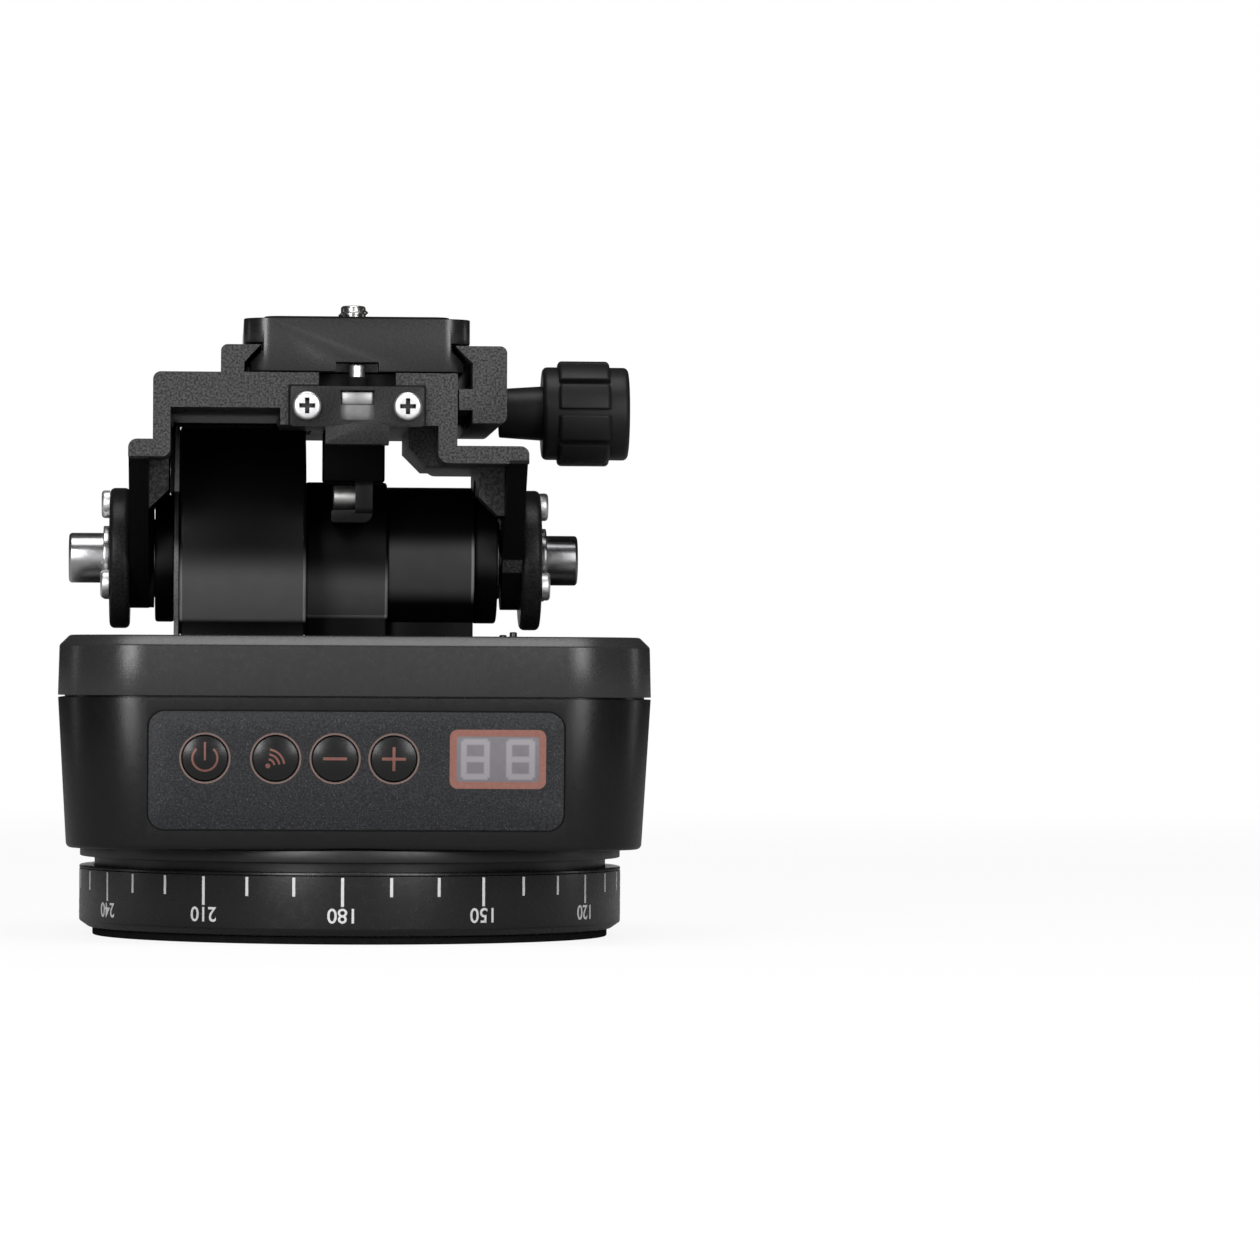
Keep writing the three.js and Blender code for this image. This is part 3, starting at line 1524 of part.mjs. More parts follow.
// Clamp knob: neck, round core and raised grips, with a hole for the screw
const neckLeft = jawOuter + fitGap;
const coreLeft = neckLeft + neckLength;
const coreRight = coreLeft + knobLength;
const gripLeft = coreLeft + gripStart;
const knobCore = turnedAcross([
  [0, neckLeft],
  [neckRootRadius, neckLeft],
  [neckEndRadius, coreLeft],
  [knobRadius - knobEdge, coreLeft],
  [knobRadius, coreLeft + knobEdge],
  [knobRadius, coreRight - knobEdge],
  [knobRadius - knobEdge, coreRight],
  [0, coreRight],
], shaftFacets, 0, knobZ);
const gripRing = turnedAcross([
  [knobRadius - knobEdge, gripLeft],
  [gripRadius - gripEdge, gripLeft],
  [gripRadius, gripLeft + gripEdge],
  [gripRadius, gripLeft + gripLength - gripEdge],
  [gripRadius - gripEdge, gripLeft + gripLength],
  [knobRadius - knobEdge, gripLeft + gripLength],
], 2 * shaftFacets, 0, knobZ);
const grooves = Array.from({ length: gripCount }, (unused, i) => block(
  gripLeft - cutOverrun,
  gripLeft + gripLength + cutOverrun,
  knobRadius - knobEdge / 2,
  gripRadius + cutOverrun,
  -gripGroove / 2,
  gripGroove / 2,
).rotateX((i + 1 / 2) * 2 * Math.PI / gripCount).translate(0, 0, knobZ));
const knobHole = rod(clampScrewRadius + fitGap, neckLeft - cutOverrun, neckLeft + clampScrewSeat);
const knob = cut(
  join(knobCore, cut(gripRing, ...grooves)),
  turnedAcross(knobHole, shaftFacets, 0, knobZ),
);
piece('clamp_knob', knob, materials.blackPlastic);

const clampScrew = turnedAcross(
  rod(clampScrewRadius, cradleRight - clampScrewReach, neckLeft + clampScrewReach),
  screwFacets,
  0,
  knobZ,
);
piece('clamp_screw', clampScrew, materials.steel);

export default head;
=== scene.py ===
import math

import bmesh
import bpy
from mathutils import Matrix, Vector


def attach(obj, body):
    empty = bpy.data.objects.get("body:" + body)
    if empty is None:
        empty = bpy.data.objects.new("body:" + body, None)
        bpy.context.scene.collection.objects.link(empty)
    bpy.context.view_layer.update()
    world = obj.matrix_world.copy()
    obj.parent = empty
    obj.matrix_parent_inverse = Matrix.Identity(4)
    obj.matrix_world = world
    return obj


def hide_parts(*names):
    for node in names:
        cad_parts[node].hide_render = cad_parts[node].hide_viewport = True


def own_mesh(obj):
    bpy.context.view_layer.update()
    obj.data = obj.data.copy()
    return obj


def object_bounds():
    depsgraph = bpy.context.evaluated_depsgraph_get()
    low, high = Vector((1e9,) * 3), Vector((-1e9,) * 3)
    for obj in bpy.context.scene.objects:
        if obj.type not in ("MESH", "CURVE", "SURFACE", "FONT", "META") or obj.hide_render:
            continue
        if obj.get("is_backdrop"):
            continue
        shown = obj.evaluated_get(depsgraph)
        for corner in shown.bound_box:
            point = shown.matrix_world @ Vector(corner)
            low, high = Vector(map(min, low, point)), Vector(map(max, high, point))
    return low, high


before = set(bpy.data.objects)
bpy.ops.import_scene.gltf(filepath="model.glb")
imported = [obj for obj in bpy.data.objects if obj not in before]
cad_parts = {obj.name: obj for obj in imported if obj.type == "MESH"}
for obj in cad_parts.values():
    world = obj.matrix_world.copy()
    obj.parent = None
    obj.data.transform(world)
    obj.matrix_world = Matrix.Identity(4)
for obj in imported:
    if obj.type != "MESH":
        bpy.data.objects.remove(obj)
cad_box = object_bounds()

# Camera, floor and studio light.
# The head is seen from the front with a long lens, a little below its tilt axis,
# and it stands left of the middle of a white picture.
mm = 0.001
camera_place = Vector((-28, -1371, 55.2)) * mm
camera_turn = math.radians(-3.650)
camera_rise = math.radians(0.413)
camera_roll = math.radians(0.3)
camera_lens = 183.7
sensor_width = 36
view_reach = 30
camera = bpy.data.objects.new("camera", bpy.data.cameras.new("camera"))
camera.data.lens = camera_lens
camera.data.sensor_width = sensor_width
camera.data.clip_end = view_reach
upright = Matrix.Rotation(math.pi / 2 + camera_rise, 4, "X")
aim = Matrix.Rotation(camera_turn, 4, "Z") @ upright @ Matrix.Rotation(camera_roll, 4, "Z")
camera.matrix_world = Matrix.Translation(camera_place) @ aim
bpy.context.scene.collection.objects.link(camera)
bpy.context.scene.camera = camera
bpy.context.scene.view_settings.view_transform = "Standard"


class Value:
    """A number or a colour on its way through a material, built up by plain arithmetic."""

    def __init__(self, finish, socket):
        self.finish = finish
        self.socket = socket

    def math(self, operation, first, second):
        inputs = {0: first, 1: second}
        return self.finish.node("Math", {"operation": operation}, inputs)[0]

    def __add__(self, other):
        return self.math("ADD", self, other)

    def __sub__(self, other):
        return self.math("SUBTRACT", self, other)

    def __rsub__(self, other):
        return self.math("SUBTRACT", other, self)

    def __mul__(self, other):
        return self.math("MULTIPLY", self, other)

    def __abs__(self):
        return self.math("ABSOLUTE", self, 0)

    def least(self, other):
        return self.math("MINIMUM", self, other)

    def most(self, other):
        return self.math("MAXIMUM", self, other)

    def ramp(self, low, high, at_low=0, at_high=1):
        """Goes smoothly from one value to another while this value goes from low to high."""
        inputs = {"Value": self, 1: low, 2: high, 3: at_low, 4: at_high}
        return self.finish.node("MapRange", {"interpolation_type": "SMOOTHSTEP"}, inputs)[0]


class Finish:
    """A material's or the world's nodes, all made by one method."""

    def __init__(self, owner):
        owner.use_nodes = True
        self.tree = owner.node_tree
        self.tree.nodes.clear()

    def node(self, kind, settings=None, inputs=None):
        made = self.tree.nodes.new("ShaderNode" + kind)
        for name, setting in (settings or {}).items():
            setattr(made, name, setting)
        for name, value in (inputs or {}).items():
            if isinstance(value, Value):
                self.tree.links.new(value.socket, made.inputs[name])
            else:
                made.inputs[name].default_value = value
        return [Value(self, socket) for socket in made.outputs]

    def seen(self, mirrored):
        """1 for rays from the camera or through glass, and a share of it for reflections."""
        path = self.node("LightPath")
        return path[0].most(path[6]).most(path[3] * mirrored)


white = (1, 1, 1, 1)
floor_size = 12
floor_tone = 0.32
seen_floor_tone = 0.95
near_glow_share = 0.88
glow_reach = (0.35, 1.4)
mirrored_floor_share = 0.04
floor_paint = bpy.data.materials.new("studio_floor")
paint = Finish(floor_paint)
direct = paint.seen(0)
tone = direct * (seen_floor_tone - floor_tone) + floor_tone
matt = paint.node("BsdfDiffuse", None, {"Color": tone})[0]
glow = paint.node("Emission", None, {"Color": white, "Strength": 1})[0]
away = paint.node("VectorMath", {"operation": "LENGTH"}, {0: paint.node("TexCoord")[3]})[1]
floor_share = paint.seen(mirrored_floor_share) * away.ramp(*glow_reach, near_glow_share, 1)
floor_look = paint.node("MixShader", None, {0: floor_share, 1: matt, 2: glow})[0]
paint.node("OutputMaterial", None, {"Surface": floor_look})
floor_shape = bmesh.new()
bmesh.ops.create_grid(floor_shape, x_segments=1, y_segments=1, size=floor_size / 2)
floor_mesh = bpy.data.meshes.new("studio_floor")
floor_shape.to_mesh(floor_mesh)
floor_mesh.materials.append(floor_paint)
floor = bpy.data.objects.new("studio_floor", floor_mesh)
bpy.context.scene.collection.objects.link(floor)
floor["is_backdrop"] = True

room_strength = 0.35
mirrored_room_strength = 0.03
backdrop_shares = (0.97, 0.995)
world = bpy.data.worlds.new("studio")
bpy.context.scene.world = world
room = Finish(world)
onward = room.node("SeparateXYZ", None, {0: room.node("TexCoord")[0]})[1]
mirrored_strength = onward.ramp(*backdrop_shares, mirrored_room_strength, 1)
glossy = room.node("LightPath")[3]
strength = room.seen(mirrored_strength).most((1 - glossy) * room_strength)
sky = room.node("Background", None, {"Color": white, "Strength": strength})[0]
room.node("OutputWorld", None, {"Surface": sky})

# Each lamp has a place, a width, a height and a radiance, and looks at the middle of the head.
lamp_aim = Vector((0, 0, 0.07))
lamps = {
    "top_softbox": ((0.0, -0.14, 0.95), 0.7, 0.5, 3.4),
    "left_softbox": ((-0.5, -1.1, 0.45), 0.36, 0.8, 7.5),
    "right_softbox": ((0.5, -1.1, 0.45), 0.36, 0.8, 5.5),
    "left_strip": ((-1.0, 0.26, 0.12), 0.12, 0.4, 1.1),
    "right_strip": ((1.0, 0.26, 0.12), 0.12, 0.4, 1.9),
    "front_card": ((-0.05, -1.6, 0.3), 1.4, 0.7, 0.3),
}
for name, (place, width, height, radiance) in lamps.items():
    lamp = bpy.data.lights.new(name, "AREA")
    lamp.shape = "RECTANGLE"
    lamp.size = width
    lamp.size_y = height
    lamp.energy = radiance * math.pi * width * height
    lamp_object = bpy.data.objects.new(name, lamp)
    toward = lamp_aim - Vector(place)
    turn = toward.to_track_quat("-Z", "Y").to_matrix().to_4x4()
    lamp_object.matrix_world = Matrix.Translation(place) @ turn
    lamp_object.visible_camera = False
    bpy.context.scene.collection.objects.link(lamp_object)

# Rubber foot: a thin ring of soft black rubber, glued under the base ring.
# It is moulded with three shallow grooves on its underside,
# and its outer edge shows as a dark lip under the ring.
facing_front = Matrix.Rotation(math.pi / 2, 4, "X")
fine_steps = 144
weld = 0.0005 * mm
fine_round = 2
least_segments = 3
most_segments = 18


def noise(finish, scale, detail=2):
    """Even noise from 0 to 1, with scale spots to the metre."""
    inputs = {"Vector": finish.node("TexCoord")[3], "Scale": scale, "Detail": detail}
    return finish.node("TexNoise", None, inputs)[0]


def grey(level):
    """A colour of equal parts of red, green and blue."""
    return (level, level, level, 1)


def blend(finish, share, first, second):
    """Mixes two colours by a share from 0 to 1."""
    inputs = {0: share, 6: first, 7: second}
    return finish.node("Mix", {"data_type": "RGBA"}, inputs)[2]


def bump(finish, height, strength, depth):
    """A surface whose height rises and falls by a depth in millimetres."""
    inputs = {"Height": height, "Strength": strength, "Distance": depth * mm}
    return finish.node("Bump", None, inputs)[0]


def spotted(dark, pale, *spots):
    """A colour that goes between two in spots of noise."""
    return lambda finish: blend(finish, noise(finish, *spots), dark, pale)


def surface(name, colour, roughness, grain, others=None):
    """
    A material of one main shader. Its roughness is given as lowest, range and spots,
    its grain as strength, depth in millimetres and spots.
    """
    material = bpy.data.materials.new(name)
    finish = Finish(material)
    lowest, change, *spots = roughness
    strength, depth, *grains = grain
    inputs = {
        "Base Color": colour(finish),
        "Roughness": noise(finish, *spots) * change + lowest,
        "Normal": bump(finish, noise(finish, *grains), strength, depth),
    }
    shader = finish.node("BsdfPrincipled", None, {**inputs, **(others or {})})[0]
    finish.node("OutputMaterial", None, {"Surface": shader})
    return material


def outward(shape):
    """Turns all faces of a closed shape outwards."""
    bmesh.ops.recalc_face_normals(shape, faces=shape.faces[:])
    if shape.calc_volume(signed=True) < 0:
        bmesh.ops.reverse_faces(shape, faces=shape.faces[:])
    return shape


def wire(points, closed):
    """Edges through points in millimetres. A third number rounds that corner."""
    shape = bmesh.new()
    corners = [shape.verts.new((point[0] * mm, point[1] * mm, 0)) for point in points]
    following = corners[1:] + corners[:1] if closed else corners[1:]
    for start, end in zip(corners, following):
        shape.edges.new((start, end))
    for corner, point in zip(corners, points):
        if len(point) > 2 and point[2] > 0:
            segments = min(most_segments, least_segments + round(point[2] * fine_round))
            bmesh.ops.bevel(
                shape,
                geom=[corner],
                offset=point[2] * mm,
                offset_type="OFFSET",
                segments=segments,
                profile=0.5,
                affect="VERTICES",
                material=-1,
            )
    return shape


def turned(points, closed=False, steps=fine_steps, sweep=2 * math.pi, pitch=0):
    """Spins a section of (radius, height) points round Z. A pitch makes it a screw."""
    shape = wire(points, closed)
    bmesh.ops.transform(shape, matrix=facing_front, verts=shape.verts[:])
    whole = pitch == 0 and sweep == 2 * math.pi
    bmesh.ops.spin(
        shape,
        geom=shape.verts[:] + shape.edges[:],
        cent=(0, 0, 0),
        axis=(0, 0, 1),
        dvec=(0, 0, pitch * mm * sweep / (2 * math.pi) / steps),
        angle=sweep,
        steps=steps,
        use_merge=whole,
    )
    bmesh.ops.remove_doubles(shape, verts=shape.verts[:], dist=weld)
    if not whole:
        rims = [edge for edge in shape.edges if edge.is_boundary]
        bmesh.ops.holes_fill(shape, edges=rims, sides=0)
    return outward(shape)


def placed(shape, turn=None, at=(0, 0, 0)):
    """Turns a shape, then moves it by a place in millimetres."""
    matrix = Matrix.Translation(Vector(at) * mm) @ (turn or Matrix.Identity(4))
    bmesh.ops.transform(shape, matrix=matrix, verts=shape.verts[:])
    return shape


def made(name, shape, material, crease=30):
    """Makes a piece. Faces that meet more sharply than the crease keep an edge."""
    mesh = bpy.data.meshes.new(name)
    shape.to_mesh(mesh)
    shape.free()
    mesh.shade_smooth()
    mesh.set_sharp_from_angle(angle=math.radians(crease))
    mesh.materials.append(material)
    piece = bpy.data.objects.new(name, mesh)
    bpy.context.scene.collection.objects.link(piece)
    return piece


foot_radius = 54.7
foot_hole = 12
foot_height = 1.6
foot_edge = 0.3
groove_depth = 0.5
groove_half = 0.8
groove_radii = (24, 34, 44)
rubber = surface(
    "soft_rubber",
    spotted(grey(0.006), grey(0.016), 900, 3),
    (0.7, 0.2, 260, 3),
    (0.4, 0.1, 3200),
    {"Specular IOR Level": 0.03},
)
foot_section = [
    (foot_radius, foot_height, foot_edge),
    (foot_hole, foot_height),
    (foot_hole, 0, foot_edge),
]
for radius in groove_radii:
    foot_section += [
        (radius - groove_half, 0),
        (radius - groove_half, groove_depth),
        (radius + groove_half, groove_depth),
        (radius + groove_half, 0),
    ]
foot_section.append((foot_radius, 0, foot_edge))
foot = made("foot_pad", turned(foot_section, closed=True), rubber)
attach(foot, "base")
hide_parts("rubber_foot")

# Base ring: the fixed lower part, one casting of black plastic with a satin skin.
# Its outer wall carries the degree scale, with a fine groove near its bright top rim.
# A post in its middle carries the bearing and takes the tripod bush from below.
ring_radius = 57.5
ring_bottom = 1.65
ring_top = 14.8
ring_edge = 0.3
ring_chamfer = (2, 1.4)
ring_inner = 54.6
ring_floor = 5.65
ring_corner = 1
line_height = 14.1
line_depth = 0.2
line_half = 0.12
bush_hole = 9.3
bush_hole_top = 15.5
post_radius = 11.7
post_top = 25.9
shoulder_radius = 14
shoulder_top = 12.45


def plastic(name, dark, pale, roughness, grain=0.25, shine=0.2):
    """Moulded plastic: an even colour with faint clouds and a fine spark-eroded grain."""
    return surface(
        name,
        spotted(dark, pale, 120, 3),
        (roughness - 0.07, 0.14, 700, 3),
        (grain, 0.05, 3600),
        {"Specular IOR Level": shine},
    )


ring_plastic = plastic("ring_plastic", grey(0.004), grey(0.008), 0.26, 0.2, 0.6)
ring_section = [
    (bush_hole, ring_bottom),
    (ring_radius - ring_chamfer[0], ring_bottom, ring_edge),
    (ring_radius, ring_bottom + ring_chamfer[1], ring_edge),
    (ring_radius, line_height - line_half),
    (ring_radius - line_depth, line_height),
    (ring_radius, line_height + line_half),
    (ring_radius, ring_top, ring_edge),
    (ring_inner, ring_top, ring_edge),
    (ring_inner, ring_floor, ring_corner),
    (shoulder_radius, ring_floor, ring_corner),
    (shoulder_radius, shoulder_top),
    (post_radius, shoulder_top),
    (post_radius, post_top, ring_edge),
    (0, post_top),
    (0, bush_hole_top),
    (bush_hole, bush_hole_top),
]
ring = made("scale_ring", turned(ring_section, closed=True), ring_plastic)
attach(ring, "base")
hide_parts("base_ring")

# Degree scale: white print on the base ring, a line every ten degrees and a number every thirty.
# The numbers run clockwise seen from above, and stand on their heads,
# so that somebody who looks down at the head from behind reads them upright.
print_sink = 0.2
print_rise = 0.03
print_middle = (print_rise - print_sink) / 2
scale_zero = math.radians(-2.7)
scale_step = math.radians(10)
scale_lines = 36
number_every = 3
line_width = 0.62
line_top = 13.75
line_lengths = (5.9, 3.9)
number_height = 3.1
number_middle = 5.95
type_share = 1.37
type_weight = 0.04
scale_colour = spotted(grey(0.6), grey(0.85), 2600)
scale_white = surface("scale_print", scale_colour, (0.4, 0.2, 900), (0.2, 0.02, 3600))


def block(low, high):
    """A box between two corners in millimetres."""
    shape = bmesh.new()
    bmesh.ops.create_cube(shape, size=mm)
    sizes = Vector(high) - Vector(low)
    bmesh.ops.scale(shape, verts=shape.verts[:], vec=sizes)
    return placed(shape, None, (Vector(low) + Vector(high)) / 2)


def lettering(text, height, thickness):
    """Flat numerals as a closed shape with its middle at the origin."""
    curve = bpy.data.curves.new(text, "FONT")
    curve.body = text
    curve.align_x = "CENTER"
    curve.extrude = thickness * mm / 2
    curve.size = height * mm * type_share
    curve.offset = type_weight * mm
    holder = bpy.data.objects.new(text, curve)
    bpy.context.scene.collection.objects.link(holder)
    shape = bmesh.new()
    shape.from_mesh(holder.evaluated_get(bpy.context.evaluated_depsgraph_get()).to_mesh())
    bpy.data.objects.remove(holder)
    bmesh.ops.remove_doubles(shape, verts=shape.verts[:], dist=weld)
    heights = [vertex.co.y for vertex in shape.verts]
    middle = (min(heights) + max(heights)) / 2
    bmesh.ops.translate(shape, verts=shape.verts[:], vec=(0, -middle, 0))
    return shape


def added(target, shape):
    """Puts one shape's faces into another."""
    mesh = bpy.data.meshes.new("added")
    shape.to_mesh(mesh)
    shape.free()
    target.from_mesh(mesh)
    bpy.data.meshes.remove(mesh)
    return target


def wrapped(shape, turn):
    """Wraps a flat print round the ring: across becomes an angle, depth a radius."""
    for vertex in shape.verts:
        across, up, depth = vertex.co
        angle = turn + across / (ring_radius * mm)
        radius = ring_radius * mm + depth
        vertex.co = (radius * math.sin(angle), -radius * math.cos(angle), up)
    return outward(shape)


scale = bmesh.new()
for step in range(scale_lines):
    turn = scale_zero - step * scale_step + math.pi
    length = line_lengths[0] if step % number_every == 0 else line_lengths[1]
    line = block(
        (-line_width / 2, line_top - length, -print_sink),
        (line_width / 2, line_top, print_rise),
    )
    added(scale, wrapped(line, turn))
    if step % number_every == 0:
        degrees = round(math.degrees(step * scale_step))
        number = lettering(str(degrees), number_height, print_rise + print_sink)
        upside_down = Matrix.Rotation(math.pi, 4, "Z")
        placed(number, upside_down, (0, number_middle, print_middle))
        added(scale, wrapped(number, turn))
marks = made("degree_scale", scale, scale_white)
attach(marks, "base")

# Tripod bush: turned steel with a coarse inside thread, pressed into the post from below.
# Its thread takes the tripod's screw. A chamfer leads the screw in,
# and the cap above the thread stays closed.
bush_radius = 9
bush_bottom = 0.6
bush_top = 15.2
bush_edge = 0.3
thread_radius = 4.8
thread_depth = 13
thread_pitch = 1.5875
thread_tooth = 0.75
thread_lead = 0.9
thread_steps = 48
thread_overlap = 0.3
thread_foot_share = 0.46
thread_tip_share = 0.08


def metal(name, dark, pale, roughness, scratch=1400, grain=0.15, depth=0.02):
    """Bare metal with faint streaks in its shine."""
    return surface(
        name,
        spotted(dark, pale, scratch, 3),
        (roughness - 0.06, 0.12, scratch, 4),
        (grain, depth, 2 * scratch),
        {"Metallic": 1},
    )


bush_steel = metal("bush_steel", (0.42, 0.42, 0.41, 1), (0.6, 0.6, 0.59, 1), 0.34)
bush_section = [
    (thread_radius + thread_lead, bush_bottom),
    (bush_radius, bush_bottom, bush_edge),
    (bush_radius, bush_top, bush_edge),
    (0, bush_top),
    (0, bush_bottom + thread_depth),
    (thread_radius, bush_bottom + thread_depth),
    (thread_radius, bush_bottom + thread_lead),
]
bush = made("bush_insert", turned(bush_section, closed=True), bush_steel)
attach(bush, "base")
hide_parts("tripod_bush")


def thread(radius, tooth, pitch, low, high, steps=thread_steps):
    """The ridges of a screw thread: a tooth that winds up from low to high."""
    turns = (high - low) / pitch - 1
    foot_half = pitch * thread_foot_share
    tip_half = pitch * thread_tip_share
    section = [
        (radius, low + pitch / 2 - foot_half),
        (radius + tooth, low + pitch / 2 - tip_half),
        (radius + tooth, low + pitch / 2 + tip_half),
        (radius, low + pitch / 2 + foot_half),
    ]
    return turned(section, True, round(steps * turns), 2 * math.pi * turns, pitch)


bush_thread = made(
    "bush_thread",
    thread(
        thread_radius + thread_overlap,
        -thread_tooth,
        thread_pitch,
        bush_bottom + thread_lead / 2,
        bush_bottom + thread_depth,
    ),
    bush_steel,
)
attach(bush_thread, "base")

# Turntable: the black plastic plate that turns on the bearing and carries the housing.
# Only its narrow band shows, between the housing and the scale ring,
# and its neck drops into the ring and hides the joint.
table_radius = 57.4
table_top = 19.3
table_under = 16.7
table_edge = 0.25
table_hole = 14.5
hub_bore = 17.3
hub_radius = 20.3
hub_bottom = 12.45
hub_seat = 18.15
neck_inner = 51.3
neck_outer = 54.3
neck_bottom = 11.9
table_section = [
    (hub_bore, hub_bottom),
    (hub_radius, hub_bottom),
    (hub_radius, table_under),
    (neck_inner, table_under),
    (neck_inner, neck_bottom, table_edge),
    (neck_outer, neck_bottom, table_edge),
    (neck_outer, table_under),
    (table_radius, table_under, table_edge),
    (table_radius, table_top, table_edge),
    (table_hole, table_top),
    (table_hole, hub_seat),
    (hub_bore, hub_seat),
]
table_plastic = plastic("table_plastic", grey(0.005), grey(0.008), 0.36, 0.2, 0.6)
table = made("turntable_plate", turned(table_section, closed=True), table_plastic)
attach(table, "head")
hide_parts("turntable")

# Lower housing: a black moulded shell, square with round corners, narrower towards its foot.
# Its walls are thin and a lip round their top locates the cover.
# The front has a shallow recess for the control film, with holes for buttons and display.
shell_width = 122.5
shell_depth = 118
shell_corner = 18.5
shell_wall = 2.6
shell_bottom = 19.35
shell_floor = 21.35
shell_top = 50.4
shell_edge = 1
seam_edge = 0.15
seam_height = 50.8
lip_inset = 1.4
lip_low = 45
lip_top = 53.8
draft_share = 0.000935908
front_place = Vector((0, -58.161, 35.6)) * mm
front_lean = 0.055163
on_wall = Matrix.Translation(front_place) @ Matrix.Rotation(front_lean, 4, "X") @ facing_front
facing_back = Matrix.Rotation(-math.pi / 2, 4, "X")
cut_overrun = 1
fit_gap = 0.3
panel_width = 84.8
panel_height = 24.2
panel_corner = 3.4
film_thickness = 0.6
button_radius = 4.5
button_row = 2.5
button_places = {"power": -30.9, "channel": -16.5, "minus": -4.4, "plus": 7.6}
window_left = 19.9
window_right = 37.8
window_half = 5.25
floor_hole = 14.3
socket_place = (24, 57.736, 33.35)
socket_radius = 4.6
hole_steps = 64


def bevelled(shape, edges, width, segments=3):
    """Rounds edges, or with one segment chamfers them."""
    bmesh.ops.bevel(
        shape,
        geom=edges,
        offset=width * mm,
        offset_type="OFFSET",
        segments=segments,
        profile=0.5,
        affect="EDGES",
        clamp_overlap=True,
        material=-1,
    )
    return shape


def slab(points, depth, low_rim=0, high_rim=0, low=0):
    """A flat outline with a depth along Z, and the rims of both its ends rounded."""
    shape = wire(points, True)
    faces = bmesh.ops.edgeloop_fill(shape, edges=shape.edges[:])["faces"]
    grown = bmesh.ops.extrude_face_region(shape, geom=faces)["geom"]
    raised = [part for part in grown if isinstance(part, bmesh.types.BMVert)]
    bmesh.ops.translate(shape, verts=raised, vec=(0, 0, depth * mm))
    outward(shape)
    for level, rim in ((0, low_rim), (depth * mm, high_rim)):
        if rim:
            ends = [e for e in shape.edges if all(abs(v.co.z - level) < weld for v in e.verts)]
            bevelled(shape, ends, rim)
    return placed(shape, None, (0, 0, low))


def rectangle(width, depth, corner):
    """The outline of a rectangle with round corners and its middle at the origin."""
    across = width / 2
    along = depth / 2
    return [
        (-across, -along, corner),
        (across, -along, corner),
        (across, along, corner),
        (-across, along, corner),
    ]


def rod(radius, low, high, steps=hole_steps, low_edge=0, high_edge=0):
    """A round bar along Z, also used to cut holes. Its ends can be rounded."""
    section = [(0, low), (radius, low, low_edge), (radius, high, high_edge), (0, high)]
    return turned(section, steps=steps)


def combined(shape, operation, *others):
    """Joins a shape with others, cuts them from it, or keeps what they share."""
    for other in others:
        pair = []
        for number, part in enumerate((shape, other)):
            mesh = bpy.data.meshes.new("operand")
            part.to_mesh(mesh)
            part.free()
            pair.append(bpy.data.objects.new("operand", mesh))
            bpy.context.scene.collection.objects.link(pair[number])
        modifier = pair[0].modifiers.new("combined", "BOOLEAN")
        modifier.operation = operation
        modifier.solver = "EXACT"
        modifier.object = pair[1]
        result = pair[0].evaluated_get(bpy.context.evaluated_depsgraph_get())
        shape = bmesh.new()
        shape.from_mesh(result.to_mesh())
        for operand in pair:
            bpy.data.meshes.remove(operand.data)
    bmesh.ops.remove_doubles(shape, verts=shape.verts[:], dist=weld)
    flat = math.radians(0.5)
    bmesh.ops.dissolve_limit(shape, angle_limit=flat, verts=shape.verts[:], edges=shape.edges[:])
    return shape


def shell_slab(inset, low, high, low_rim=0, high_rim=0):
    """A slab with the housing's outline, drawn in by an inset."""
    width = shell_width - 2 * inset
    depth = shell_depth - 2 * inset
    outline = rectangle(width, depth, shell_corner - inset)
    return slab(outline, high - low, low_rim, high_rim, low)


def drafted(shape, share):
    """Narrows a shape by a share for each millimetre away from the seam."""
    for vertex in shape.verts:
        size = 1 - share * abs(vertex.co.z / mm - seam_height)
        vertex.co.x *= size
        vertex.co.y *= size
    return shape


def button_holes(low, high):
    """Cutters for the four button holes, in the front wall's frame."""
    radius = button_radius + fit_gap
    return [placed(rod(radius, low, high), None, (x, button_row, 0)) for x in button_places.values()]


def window_hole(margin, low, high):
    """A cutter for the display window, in the front wall's frame."""
    return block(
        (window_left - margin, button_row - window_half - margin, low),
        (window_right + margin, button_row + window_half + margin, high),
    )


shell_dark = (0.0035, 0.0035, 0.0036, 1)
shell_pale = (0.0065, 0.0065, 0.0067, 1)
# The shell and the cover are one plastic: the shell's colour is painted darker, as painted shade.
shaded_shell_plastic = plastic("shaded_shell_plastic", shell_dark, shell_pale, 0.3, 0.3, 0.45)
recess = slab(
    rectangle(panel_width + 2 * fit_gap, panel_height + 2 * fit_gap, panel_corner + fit_gap),
    film_thickness + fit_gap + cut_overrun,
    low=-film_thickness - fit_gap,
)
wall_cutters = [recess, window_hole(fit_gap, -shell_wall - cut_overrun - film_thickness, 0)]
wall_cutters += button_holes(-shell_wall - cut_overrun - film_thickness, 0)
socket_hole = rod(socket_radius + fit_gap, -shell_wall - cut_overrun, cut_overrun)
floor_cut = rod(floor_hole, shell_bottom - cut_overrun, shell_floor + cut_overrun, fine_steps)
lower = combined(
    drafted(shell_slab(0, shell_bottom, shell_top, shell_edge, seam_edge), draft_share),
    "UNION",
    shell_slab(lip_inset, lip_low, lip_top, 0, seam_edge),
)
lower = combined(
    lower,
    "DIFFERENCE",
    drafted(shell_slab(shell_wall, shell_floor, lip_top + cut_overrun), draft_share),
    *[placed(cutter, on_wall) for cutter in wall_cutters],
    placed(socket_hole, facing_back, socket_place),
    floor_cut,
)
lower_shell = made("lower_shell", lower, shaded_shell_plastic)
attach(lower_shell, "head")
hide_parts("lower_housing")

